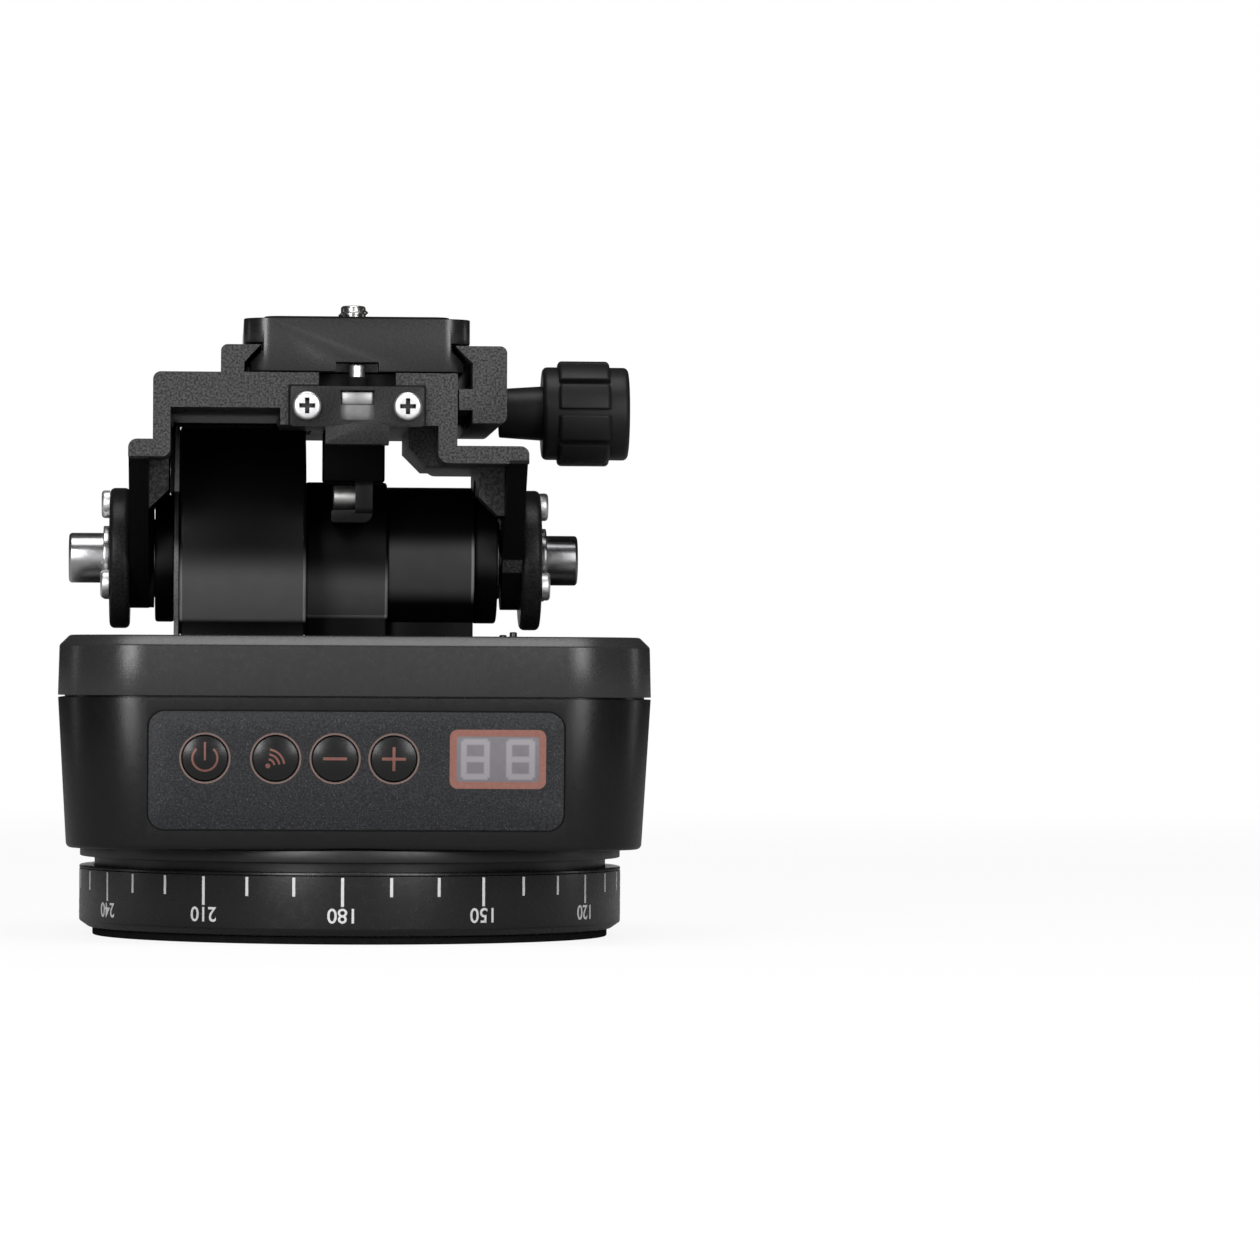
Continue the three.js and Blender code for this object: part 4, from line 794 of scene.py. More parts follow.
# Control film: a thin printed sheet of dark blue-grey plastic in its recess.
# It has a fine pearly speckle, holes for the buttons and a window for the display.
film_edge = 0.12
film_dark = (0.007, 0.0075, 0.009, 1)
film_pale = (0.025, 0.026, 0.030, 1)
film_spark = (0.075, 0.078, 0.088, 1)


def film_colour(finish):
    """Dark and pale clouds with pearly specks on them."""
    clouds = blend(finish, noise(finish, 2600, 2).ramp(0.35, 0.65), film_dark, film_pale)
    return blend(finish, noise(finish, 3400, 1).ramp(0.62, 0.75), clouds, film_spark)


film_look = surface(
    "film_print", film_colour, (0.36, 0.2, 2200), (0.2, 0.02, 4200), {"Specular IOR Level": 0.4}
)
film = combined(
    slab(
        rectangle(panel_width, panel_height, panel_corner),
        film_thickness,
        high_rim=film_edge,
        low=-film_thickness,
    ),
    "DIFFERENCE",
    *button_holes(-cut_overrun, cut_overrun),
    window_hole(fit_gap, -cut_overrun, cut_overrun),
)
film_sheet = made("control_film", placed(film, on_wall), film_look)
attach(film_sheet, "head")
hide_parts("control_panel")

# Print on the film: thin copper rings round the buttons and a frame round the display.
# They are raised by less than the thickness of paint.
ink_rise = 0.02
ink_sink = 0.1
button_ring = (4.87, 5.22)
frame_outer = (19.7, 12.1, 1.6)
frame_inner = (16.9, 9.3, 0.7)
frame_middle = ((window_left + window_right) / 2, button_row)


def ink(name, dark, pale):
    """Metallic printing ink with a fine grain."""
    colour = spotted(dark, pale, 1800)
    return surface(name, colour, (0.34, 0.2, 1200), (0.15, 0.02, 4200), {"Metallic": 0.35})


def hoop(inner, outer, low, high, inner_edge=0, outer_edge=0):
    """The section of a ring round Z, whose edges can be rounded."""
    return [
        (inner, low, inner_edge),
        (outer, low, outer_edge),
        (outer, high, outer_edge),
        (inner, high, inner_edge),
    ]


display_frame = combined(
    slab(rectangle(*frame_outer), ink_rise + ink_sink, low=-ink_sink),
    "DIFFERENCE",
    slab(rectangle(*frame_inner), 2 * cut_overrun, low=-cut_overrun),
)
placed(display_frame, None, (*frame_middle, 0))
frame_ink = ink("frame_ink", (0.27, 0.115, 0.09, 1), (0.38, 0.175, 0.14, 1))
frame_print = made("frame_print", placed(display_frame, on_wall), frame_ink)
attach(frame_print, "head")
rings = bmesh.new()
for x in button_places.values():
    band = turned(hoop(*button_ring, -ink_sink, ink_rise), True, hole_steps)
    added(rings, placed(band, None, (x, button_row, 0)))
ring_ink = ink("ring_ink", (0.19, 0.125, 0.11, 1), (0.26, 0.175, 0.155, 1))
ring_print = made("ring_print", placed(rings, on_wall), ring_ink)
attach(ring_print, "head")

# Push buttons: black caps with a low dome, a copper sign on each and a flange behind the wall.
# They are moulded from the same plastic as the housing, with a smoother face.
dome_top = 0.6
dome_rise = 0.5
dome_radius = (button_radius ** 2 + dome_rise ** 2) / (2 * dome_rise)
dome_steps = 7
cap_back = -4.4
flange_radius = 5.7
flange_front = -3.5
sign_rise = 0.025
sign_sink = 0.15
stroke = 0.42
wide_stroke = 0.6
sign_half = 2.45
power_radius = 2.55
power_gap = math.radians(42)
power_line = (-0.4, 3.3)
wave_radii = (1.35, 2.35, 3.35)
wave_half = math.radians(38)
wave_place = (-1.6, -1.5)
dot_radius = 0.5
arc_steps = 40
bar_cuts = 8


def dome(radius):
    """The height of the button's face at a distance from its middle."""
    return dome_top - dome_radius + math.sqrt(dome_radius ** 2 - radius ** 2)


def arc(radius, width, start, sweep, middle=(0, 0)):
    """A flat stroke along part of a circle."""
    section = hoop(radius - width / 2, radius + width / 2, -sign_sink, sign_rise)
    shape = turned(section, True, arc_steps, sweep)
    return placed(shape, Matrix.Rotation(start, 4, "Z"), (*middle, 0))


def bar(low, high):
    """A straight stroke between two corners, cut fine enough to follow the dome."""
    shape = block((*low, -sign_sink), (*high, sign_rise))
    bmesh.ops.subdivide_edges(shape, edges=shape.edges[:], cuts=bar_cuts, use_grid_fill=True)
    return shape


def power_sign():
    start = math.pi / 2 + power_gap
    ring_stroke = arc(power_radius, stroke, start, 2 * (math.pi - power_gap))
    return added(ring_stroke, bar((-stroke / 2, power_line[0]), (stroke / 2, power_line[1])))


def channel_sign():
    """Three signal waves over a dot."""
    shape = arc(dot_radius / 2, dot_radius, 0, 2 * math.pi, wave_place)
    for radius in wave_radii:
        start = math.pi / 4 - wave_half
        added(shape, arc(radius, stroke, start, 2 * wave_half, wave_place))
    return shape


def minus_sign():
    return bar((-sign_half, -wide_stroke / 2), (sign_half, wide_stroke / 2))


def plus_sign():
    low = bar((-wide_stroke / 2, -sign_half), (wide_stroke / 2, -wide_stroke / 2))
    high = bar((-wide_stroke / 2, wide_stroke / 2), (wide_stroke / 2, sign_half))
    return added(added(minus_sign(), low), high)


sign_ink = ink("sign_ink", (0.20, 0.08, 0.065, 1), (0.28, 0.12, 0.10, 1))
cap_plastic = plastic("cap_plastic", grey(0.003), (0.006, 0.006, 0.0062, 1), 0.22, 0.12, 0.6)
signs = {"power": power_sign, "channel": channel_sign, "minus": minus_sign, "plus": plus_sign}
for name, x in button_places.items():
    face = [button_radius * step / dome_steps for step in range(dome_steps, -1, -1)]
    cap_section = [
        (0, cap_back),
        (flange_radius, cap_back),
        (flange_radius, flange_front),
        (button_radius, flange_front),
        *[(radius, dome(radius)) for radius in face],
    ]
    cap = placed(turned(cap_section, steps=hole_steps), None, (x, button_row, 0))
    button = made(name + "_cap", placed(cap, on_wall), cap_plastic)
    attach(button, name + "_button")
    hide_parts(name + "_button")
    sign = signs[name]()
    for vertex in sign.verts:
        vertex.co.z += dome(math.hypot(vertex.co.x, vertex.co.y) / mm) * mm
    placed(sign, None, (x, button_row, 0))
    sign_print = made(name + "_sign", placed(sign, on_wall), sign_ink)
    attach(sign_print, name + "_button")

# Display window: a frosted grey pane flush with the film, in front of the two-digit module.
# The unlit digits show through it as two pale blurred eights.
pane_thickness = 1.2
pane_corner = 0.4
pane_edge = 0.1
digit_spread = 4.62
digit_half = (2.35, 3.55)
bar_half = 0.6
blur = 0.45
pane_dark = (0.17, 0.16, 0.175, 1)
pane_pale = (0.22, 0.205, 0.225, 1)
digit_pale = (0.33, 0.31, 0.335, 1)
pane_width = window_right - window_left
pane_middle = Vector((*frame_middle, 0)) * mm


def in_mm(finish, vector):
    """The three parts of a vector, from metres to millimetres."""
    return [part * (1 / mm) for part in finish.node("SeparateXYZ", None, {0: vector})]


def digit_mask(finish):
    """1 on the segments of two eights, 0 between them, in millimetres on the pane."""
    middle = on_wall @ pane_middle
    inputs = {"Vector": finish.node("TexCoord")[3], "Location": (-middle.x, 0, -middle.z)}
    x, y, z = in_mm(finish, finish.node("Mapping", None, inputs)[0])
    across = abs(abs(x) - digit_spread)
    up = abs(z)
    long_half, high_half = digit_half
    reach = bar_half + blur / 2
    upright = abs(across - long_half).most(abs(up - high_half / 2) - (high_half / 2 - blur))
    flat_bars = abs(up - high_half).least(up).most(across - (long_half - blur))
    return upright.least(flat_bars).ramp(bar_half - blur / 2, reach, 1, 0)


def pane_colour(finish):
    """Frosted grey with the two pale digits behind it."""
    frost = blend(finish, noise(finish, 500, 3), pane_dark, pane_pale)
    return blend(finish, digit_mask(finish), frost, digit_pale)


pane_look = surface(
    "frosted_pane", pane_colour, (0.3, 0.15, 1500), (0.1, 0.02, 5000), {"Coat Weight": 0.3}
)
pane = slab(
    rectangle(pane_width, 2 * window_half, pane_corner),
    pane_thickness,
    high_rim=pane_edge,
    low=-pane_thickness,
)
placed(pane, None, (*frame_middle, 0))
window = made("display_pane", placed(pane, on_wall), pane_look)
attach(window, "head")
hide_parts("display_window")

# Upper cover: a shallow black lid that sits on the lower housing's lip.
# It has a wide chamfer round its rim, and two small cable pegs on top beside the right arm.
cover_top = 63.2
cover_chamfer = 2.1
chamfer_reach = 1.5 * cover_chamfer
cover_edge = 0.35
cover_inset = 2.9
cover_ceiling = 60.2
cover_lip_inset = 1.1
cover_lip_top = 54.1
cover_draft_share = 0.000395
cover_turn = math.radians(20)
peg_radius = 0.8
peg_foot = 61
peg_crown = 0.3
peg_steps = 24
pegs = {32.3: 63.9, 34.5: 64.5}
# The cover's colour is the shell's plastic painted lighter, as painted light.
lit_cover_plastic = plastic("lit_cover_plastic", grey(0.024), grey(0.032), 0.26, 0.35, 0.6)
lid = shell_slab(0, seam_height, cover_top, seam_edge, 0)
level = cover_top * mm
top_rim = [e for e in lid.edges if all(abs(v.co.z - level) < weld for v in e.verts)]
bevelled(lid, top_rim, cover_chamfer, 1)
low_level = (cover_top - chamfer_reach) * mm
turned_rims = [
    edge
    for edge in lid.edges
    if min(v.co.z for v in edge.verts) > low_level and edge.calc_face_angle(0) > cover_turn
]
bevelled(lid, turned_rims, cover_edge)
lid = combined(
    drafted(lid, cover_draft_share),
    "DIFFERENCE",
    shell_slab(cover_inset, seam_height - cut_overrun, cover_ceiling),
    shell_slab(cover_lip_inset, seam_height - cut_overrun, cover_lip_top),
)
for x, top in pegs.items():
    peg = rod(peg_radius, peg_foot, top, peg_steps, 0, peg_crown)
    lid = combined(lid, "UNION", placed(peg, None, (x, 0, 0)))
cover = made("cover_lid", lid, lit_cover_plastic)
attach(cover, "head")
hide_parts("upper_cover")

# Charge socket: a round black barrel in the back wall with a bright centre pin.
# It is pushed in from inside and glued.
socket_length = 11
socket_bore = 2.8
socket_seat = 9
socket_edge = 0.3
centre_pin = 0.9
pin_front = 2
pin_steps = 24
barrel_section = [
    (0, -socket_length),
    (socket_radius, -socket_length),
    (socket_radius, 0, socket_edge),
    (socket_bore, 0, socket_edge),
    (socket_bore, -socket_seat),
    (0, -socket_seat),
]
barrel = placed(turned(barrel_section, steps=hole_steps), facing_back, socket_place)
socket = made("socket_barrel", barrel, cap_plastic)
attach(socket, "head")
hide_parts("charge_socket")
contact = rod(centre_pin, -socket_seat, -pin_front, pin_steps, 0, socket_edge)
placed(contact, facing_back, socket_place)
contact_pin = made("socket_pin", contact, bush_steel)
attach(contact_pin, "head")

# Inner works: the bearing, gears, motors, battery and boards inside the housing and gear case.
# Their CAD shapes are right as they are, and each gets the material of the real thing:
# turned steel, drawn motor cans, cut brass, green board and shrink-wrapped cells.
bearing_steel = metal("bearing_steel", (0.48, 0.48, 0.47, 1), (0.62, 0.62, 0.61, 1), 0.25)
can_steel = metal("can_steel", (0.36, 0.36, 0.355, 1), (0.5, 0.5, 0.49, 1), 0.4, 900, 0.3)
brass = metal("cut_brass", (0.62, 0.43, 0.16, 1), (0.78, 0.57, 0.25, 1), 0.3, 1200, 0.25)
board_dark = (0.012, 0.075, 0.030, 1)
board_pale = (0.030, 0.13, 0.055, 1)
board = surface(
    "circuit_board",
    lambda finish: blend(finish, noise(finish, 700, 1).ramp(0.45, 0.55), board_dark, board_pale),
    (0.3, 0.2, 900),
    (0.3, 0.05, 1500),
    {"Coat Weight": 0.3},
)
wrap_colour = spotted((0.02, 0.07, 0.20, 1), (0.03, 0.10, 0.27, 1), 60)
wrap = surface("cell_wrap", wrap_colour, (0.25, 0.2, 400), (0.4, 0.3, 160, 3))
module_colour = spotted((0.55, 0.55, 0.54, 1), (0.66, 0.66, 0.65, 1), 300)
module_look = surface("display_body", module_colour, (0.4, 0.2, 800), (0.2, 0.03, 2500))
inner_works = {
    "pan_bearing": bearing_steel,
    "pan_gear": brass,
    "pan_pinion": brass,
    "pan_motor": can_steel,
    "tilt_motor": can_steel,
    "tilt_pinion": brass,
    "tilt_mid_gear": brass,
    "tilt_output_gear": brass,
    "mid_gear_axle": bearing_steel,
    "battery_pack": wrap,
    "main_board": board,
    "button_board": board,
    "display_module": module_look,
}
for name, material in inner_works.items():
    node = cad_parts[name]
    node.data.materials.clear()
    node.data.materials.append(material)

# Gear case: a round black drum on a straight plinth, bored out from the left for the gears.
# It is black satin plastic, screwed down from inside, and painted light greys its lower part. Both
# rims are rounded, and a painted highlight line follows them.
facing_right = Matrix(((0, 0, 1, 0), (1, 0, 0, 0), (0, 1, 0, 0), (0, 0, 0, 1)))
axis_height = 79.8
drive_bottom = 63.25
drum_radius = 28.2
drum_left = -36.6
drum_right = -10.05
drum_wall = 2
drum_plinth = 66
drum_rim = 1
spacer_radius = 8.3
axle_hole = 2.3
axle_height = 93.8
painted_light_grey = 0.21
satin_black = 0.0015
highlight_inset = 0.4
highlight_fade = (0.35, 0.2)


def across(shape, height=axis_height):
    """Lays a shape along the tilt axis, its Z along X."""
    return placed(shape, facing_right, (0, 0, height))


def on_plinth(radius, plinth_top, left, right, rim):
    """A round section standing on a straight plinth, lying along the tilt axis."""
    drop = axis_height - plinth_top
    half = math.sqrt(radius ** 2 - drop ** 2)
    level = drive_bottom - axis_height
    foot = block((-half, level - cut_overrun, left - cut_overrun), (half, 0, right + cut_overrun))
    round_bar = rod(radius, left - 2 * cut_overrun, right + 2 * cut_overrun, fine_steps)
    reach = radius + cut_overrun
    span = block((-reach, level, left), (reach, reach, right))
    shape = combined(combined(round_bar, "UNION", foot), "INTERSECT", span)
    level_ends = [
        edge
        for edge in shape.edges
        if abs(edge.verts[0].co.z - edge.verts[1].co.z) < weld
        and (abs(edge.verts[0].co.z - left * mm) < weld or abs(edge.verts[0].co.z - right * mm) < weld)
    ]
    return bevelled(shape, level_ends, rim)


def satin(name, heights, share, *rims):
    """Black satin plastic with painted light that greys it between heights in mm, and a painted
    highlight line at each rim.
    """
    starts, full, ends, gone = heights

    def colour(finish):
        x, y, z = in_mm(finish, finish.node("TexCoord")[3])
        # Painted highlight lines near the rims, on top of the share of painted light elsewhere.
        line = share
        for rim in rims:
            line = abs(x - rim).ramp(*highlight_fade, share).most(line)
        fade = z.ramp(starts, full)
        clouds = noise(finish, 300, 3) * 0.2 + 0.9
        painted_light_share = fade * fade * z.ramp(gone, ends) * clouds * line
        return blend(finish, painted_light_share, grey(satin_black), grey(painted_light_grey))

    look = {"Specular IOR Level": 0.08}
    return surface(name, colour, (0.33, 0.14, 700, 3), (0.15, 0.05, 3600), look)


# Heights in mm at which the drum's painted light starts, is full, ends and is gone.
drum_painted_light = (84.5, 74.5, 67, 66)
drum_highlights = (drum_left + highlight_inset, drum_right - highlight_inset)
drum_plastic = satin("drum_plastic", drum_painted_light, 0.4, *drum_highlights)
axle_cut = rod(axle_hole, drum_left, drum_right + cut_overrun)
drum = combined(
    on_plinth(drum_radius, drum_plinth, drum_left, drum_right, drum_rim),
    "DIFFERENCE",
    rod(drum_radius - drum_wall, drum_left - cut_overrun, drum_right - drum_wall, fine_steps),
    rod(spacer_radius, drum_left, drum_right + cut_overrun),
    placed(axle_cut, None, (0, axle_height - axis_height, 0)),
)
gear_drum = made("gear_drum", across(drum), drum_plastic)
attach(gear_drum, "head")
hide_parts("gear_case")

# Case cover: a thin plate of grey metal that closes the gear case on its left.
# Only its edge shows from the front, beside the drum, with painted shade below the cradle's gusset.
# A black sheet on its outer face fills the gap to the cradle: a dark sheet put where there is shade.
plate_left = -37.65
plate_thickness = 1
plate_edge = 0.2
shaft_bore = 5.6
shade_starts = (93.6, 93.2)
shade_ends = (79, 84)
shade_sheet_left = -38.5
shade_sheet_radius = 28
shade_sheet_hole = 14
shade_sheet_top = 13.4


def cast_metal(name, dark, pale, roughness, grain, painted=lambda finish, colour: colour):
    """Blasted and painted metal: a dry grain with specks that catch the light."""

    def colour(finish):
        specks = noise(finish, 2200, 3).ramp(0.35, 0.65)
        return painted(finish, blend(finish, specks, dark, pale))

    look = {"Metallic": 0.2, "Specular IOR Level": 0.2}
    return surface(name, colour, (roughness - 0.1, 0.2, 900, 3), (grain, 0.1, 2200, 3), look)


def half_black(finish, colour):
    """Paints shade on the cover between the cradle's gussets and the tilt axis."""
    x, y, z = in_mm(finish, finish.node("TexCoord")[3])
    share = z.ramp(*shade_starts) * z.ramp(*shade_ends)
    return blend(finish, share, colour, grey(0.003))


cover_metal = cast_metal("case_cover_metal", grey(0.12), grey(0.18), 0.4, 0.2, half_black)
plate = combined(
    on_plinth(drum_radius, drum_plinth, plate_left, plate_left + plate_thickness, plate_edge),
    "DIFFERENCE",
    rod(shaft_bore, plate_left - cut_overrun, drum_left),
)
case_plate = made("case_plate", across(plate), cover_metal)
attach(case_plate, "head")
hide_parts("gear_case_cover")
# A dark sheet beside the case plate, put where there is shade.
shade_sheet_cut = shade_sheet_left - cut_overrun
shade_sheet_reach = shade_sheet_radius + cut_overrun
shade_sheet = combined(
    rod(shade_sheet_radius, shade_sheet_left, plate_left - fit_gap / 2, fine_steps),
    "DIFFERENCE",
    rod(shade_sheet_hole, shade_sheet_cut, drum_left),
    block((-shade_sheet_reach, -shade_sheet_reach, shade_sheet_cut), (shade_sheet_reach, shade_sheet_top, drum_left)),
)
case_shade_sheet = made("case_shade_sheet", across(shade_sheet), rubber)
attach(case_shade_sheet, "head")

# Middle shell and motor shell: two round black sleeves on plinths that hold the tilt motor.
# They have the drum's satin plastic and rounded rims, painted light that greys their lower halves, and
# a painted highlight line at the right rim.
motor_bore = 13
sleeve_rim = 0.7
middle_radius = 16.4
middle_plinth = 67.8
middle_left = -10
middle_right = 7.35
middle_painted_light = (82, 73.5, 67.9, 67)
middle_highlight = 7
motor_radius = 15.4
motor_plinth = 66.4
motor_left = 7.4
motor_right = 25.55
motor_seat = 23.4
motor_painted_light = (86.5, 81, 74, 70)
motor_highlight = 25.2
middle_plastic = satin("middle_plastic", middle_painted_light, 0.36, middle_highlight)
middle = combined(
    on_plinth(middle_radius, middle_plinth, middle_left, middle_right, sleeve_rim),
    "DIFFERENCE",
    rod(motor_bore, middle_left - cut_overrun, middle_right + cut_overrun),
)
middle_sleeve = made("middle_sleeve", across(middle), middle_plastic)
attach(middle_sleeve, "head")
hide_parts("middle_shell")
motor_plastic = satin("motor_plastic", motor_painted_light, 0.24, motor_highlight)
motor_housing = combined(
    on_plinth(motor_radius, motor_plinth, motor_left, motor_right, sleeve_rim),
    "DIFFERENCE",
    rod(motor_bore, motor_left - cut_overrun, motor_seat),
)
motor_sleeve = made("motor_sleeve", across(motor_housing), motor_plastic)
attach(motor_sleeve, "head")
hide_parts("motor_shell")

# Collars and bearings: a black collar at each end of the drive holds a steel ball bearing.
# Each bearing has a raised inner ring that faces the cradle's arm.
collar_radius = 13.5
collar_bore = 10.3
collar_edge = 0.6
collar_painted_light = (88, 83, 80, 75)
# The collars carry a faint band of painted light just above the tilt axis.
collar_plastic = satin("collar_plastic", collar_painted_light, 0.1)
collars = {"left_collar": (-41.75, -37.7), "right_collar": (25.6, 30.6)}
for name, (left, right) in collars.items():
    section = hoop(collar_bore, collar_radius, left, right, ring_edge, collar_edge)
    collar = made(name + "_ring", across(turned(section, True)), collar_plastic)
    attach(collar, "head")
    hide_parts(name)
race_radius = 10
race_groove = 0.4
race_radii = (9.4, 8.6)
bearings = {"left_bearing": (-37.7, -41.75, -42.75), "right_bearing": (25.6, 30.6, 31.3)}
for name, (inside, face, spacer) in bearings.items():
    inward = math.copysign(race_groove, inside - face)
    section = [
        (shaft_bore, inside),
        (race_radius, inside, ring_edge),
        (race_radius, face, ring_edge),
        (race_radii[0], face),
        (race_radii[0], face + inward),
        (race_radii[1], face + inward),
        (race_radii[1], face),
        (spacer_radius, face),
        (spacer_radius, spacer, ring_edge),
        (shaft_bore, spacer, ring_edge),
    ]
    race = made(name + "_race", across(turned(section, True)), bearing_steel)
    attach(race, "head")
    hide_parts(name)

# Cradle: the tilting yoke, a long extruded section of dark blasted metal with an arm at each end.
# It is bored for the drive inside it, slotted in front for the pin, and carries the fixed jaw.
# Its arms, its slot and a line round the lock cover carry painted shade, and a patch on the right
# arm's lug carries a painted highlight.
cradle_half = 45
cradle_top = 117.5
left_face = -47.05
left_inner = -43.05
right_inner = 31.6
right_face = 35.6
left_wall = (-42, -38.4)
left_shelf = (100, 103.6)
right_shelf = (99, 102.6)
hood_height = 110.2
spine = (-15.8, 16.8)
spine_bottom = 106.7
clamp_wall = 20.7
fixed_jaw = (-28.1, -23.3, -19.9)
jaw_foot = 119.6
jaw_top = 123.2
wall_corner = 1.6
shelf_corner = 1.8
under_corner = 2.2
jaw_corner = 1.4
cradle_profile = [
    (left_wall[0], cradle_top, wall_corner),
    (left_wall[0], left_shelf[1]),
    (left_face, left_shelf[1], shelf_corner),
    (left_face, left_shelf[0]),
    (left_wall[1], left_shelf[0], wall_corner),
    (left_wall[1], hood_height),
    (spine[0], hood_height),
    (spine[0], spine_bottom),
    (spine[1], spine_bottom),
    (spine[1], right_shelf[0], under_corner),
    (right_face, right_shelf[0]),
    (right_face, right_shelf[1], shelf_corner),
    (clamp_wall, right_shelf[1]),
    (clamp_wall, cradle_top),
    (fixed_jaw[1], cradle_top),
    (fixed_jaw[1], jaw_foot),
    (fixed_jaw[2], jaw_top),
    (fixed_jaw[0], jaw_top, jaw_corner),
    (fixed_jaw[0], cradle_top),
]
gusset_half = 22
gusset_top = 101
gusset_slant = 4
left_root = -44
left_tip = -38.85
left_foot = 89.8
left_gusset = [
    (left_root, gusset_top),
    (left_root, left_foot),
    (left_inner, left_foot),
    (left_tip, left_foot + gusset_slant),
    (left_tip, gusset_top),
]
right_root = 32.5
right_tip = 26.1
right_foot = 88.8
right_gusset = [
    (right_root, gusset_top),
    (right_tip, gusset_top),
    (right_tip, right_foot + gusset_slant),
    (right_tip + gusset_slant, right_foot),
    (right_root, right_foot),
]
block_half = 25
block_left = 11.2
block_right = 18.5
block_top = 108
block_slant = 3.9
clamp_block = [
    (block_right, block_top),
    (block_left, block_top),
    (block_left, right_shelf[0] + block_slant),
    (block_left + block_slant, right_shelf[0]),
    (block_right, right_shelf[0]),
]
lip_front = 41
lip_sides = (-38.5, -15.7)
lip_heights = (100.5, 110.4)
lip_inner = (-37.4, 109.4)
rear_lip = [
    (lip_sides[0], lip_heights[1]),
    (lip_sides[0], lip_heights[0]),
    (lip_inner[0], lip_heights[0]),
    lip_inner,
    (lip_sides[1], lip_inner[1]),
    (lip_sides[1], lip_heights[1]),
]
arm_root_half = 41
lug_radius = 10.6
arms = {"left": (left_face, left_inner, 101.8), "right": (right_inner, right_face, 100.8)}
collar_room = 14.5
drum_room = 29.2
sleeve_room = 17.4
drum_room_ends = (-38.65, -9)
sleeve_room_end = 26.6
turning_room = [
    (0, left_inner),
    (collar_room, left_inner),
    (collar_room, drum_room_ends[0]),
    (drum_room, drum_room_ends[0]),
    (drum_room, drum_room_ends[1]),
    (sleeve_room, drum_room_ends[1]),
    (sleeve_room, sleeve_room_end),
    (collar_room, sleeve_room_end),
    (collar_room, right_inner),
    (0, right_inner),
]
slot_half = 7.85
slot_depth = 6
clamp_hole = 3.3
clamp_hole_end = 8.7
screw_hole_height = 111.2
cradle_edge = 0.35
sharp_turn = math.radians(35)
arms_middle = (left_inner + right_inner) / 2
arm_reach = (right_inner - left_inner) / 2
arm_blur = 0.3
arm_shade_top = (99.9, 99.5)
slot_shade_back = (-38.8, -38.9)
slot_shade_sides = (slot_half + 0.2, slot_half + 0.1)
shadow_line_sides = (14.25, 14.15)
shadow_line_back = (-44.4, -44.6)
shadow_line_low = (105.8, 105.9)
shadow_line_high = (115.05, 114.95)
lug_highlight_left = (31.5, 31.6)
lug_highlight_back = (-9.5, -9.8)
lug_highlight_low = (76.9, 77.1)
lug_highlight_high = (79.7, 79.5)
shade_ring_radii = (8.7, 10.5)
shade_ring_ends = (-43, -42)


def forward(points, back, front, rim=0):
    """An outline in X and Z, extruded from a back towards a front along Y."""
    return placed(slab(points, back - front, rim, rim), facing_front, (0, back, 0))


def arm(left, right, top):
    """A flat arm that narrows from the shoulder to a round lug on the tilt axis."""
    rise = top - axis_height
    reach = math.hypot(arm_root_half, rise)
    angle = math.atan2(rise, arm_root_half) - math.acos(lug_radius / reach)
    touch = (lug_radius * math.cos(angle), lug_radius * math.sin(angle))
    sides = [(arm_root_half, rise), (-arm_root_half, rise), (-touch[0], touch[1]), touch]
    web = slab(sides, right - left, low=left)
    return across(combined(web, "UNION", rod(lug_radius, left, right, fine_steps)))


def softened(shape, width, segments=2):
    """Rounds every edge at which two faces turn sharply."""
    edges = [e for e in shape.edges if e.is_manifold and e.calc_face_angle() > sharp_turn]
    return bevelled(shape, edges, width, segments)


def blackened(finish, colour):
    """Paints shade on the arms below the shoulders, in the pin's slot and as a line round the lock
    cover, and leaves a painted highlight on the right arm's lug.
    """
    x, y, z = in_mm(finish, finish.node("TexCoord")[3])
    # A patch on the right arm's lug is spared the shade: a painted highlight.
    lug_highlight = z.ramp(*lug_highlight_low) * z.ramp(*lug_highlight_high) * y.ramp(*lug_highlight_back) * x.ramp(*lug_highlight_left)
    beside = abs(x - arms_middle).ramp(arm_reach - arm_blur, arm_reach)
    arms_shade = beside * z.ramp(*arm_shade_top) * (1 - lug_highlight)
    slot_shade = abs(x).ramp(*slot_shade_sides) * y.ramp(*slot_shade_back)
    shadow_line_share = abs(x).ramp(*shadow_line_sides) * y.ramp(*shadow_line_back)
    shadow_line_share = shadow_line_share * z.ramp(*shadow_line_high) * z.ramp(*shadow_line_low)
    return blend(finish, arms_shade.most(slot_shade).most(shadow_line_share), colour, grey(0.004))


cradle_metal = cast_metal("cradle_metal", grey(0.026), (0.090, 0.090, 0.091, 1), 0.5, 0.5, blackened)
yoke = combined(
    forward(cradle_profile, cradle_half, -cradle_half),
    "UNION",
    forward(rear_lip, cradle_half, lip_front),
    forward(left_gusset, gusset_half, -gusset_half),
    forward(right_gusset, gusset_half, -gusset_half),
    forward(clamp_block, block_half, -block_half),
    arm(*arms["left"]),
    arm(*arms["right"]),
)
yoke = combined(
    yoke,
    "DIFFERENCE",
    across(turned(turning_room)),
    across(rod(shaft_bore, left_face - cut_overrun, right_face + cut_overrun)),
    block(
        (-slot_half, -cradle_half - cut_overrun, spine_bottom - cut_overrun),
        (slot_half, slot_depth - cradle_half, cradle_top + cut_overrun),
    ),
    across(rod(clamp_hole, clamp_hole_end, clamp_wall + cut_overrun), screw_hole_height),
)
yoke = softened(yoke, cradle_edge)
bmesh.ops.triangulate(yoke, faces=yoke.faces[:])
yoke_body = made("cradle_yoke", yoke, cradle_metal)
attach(yoke_body, "cradle")
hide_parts("cradle")
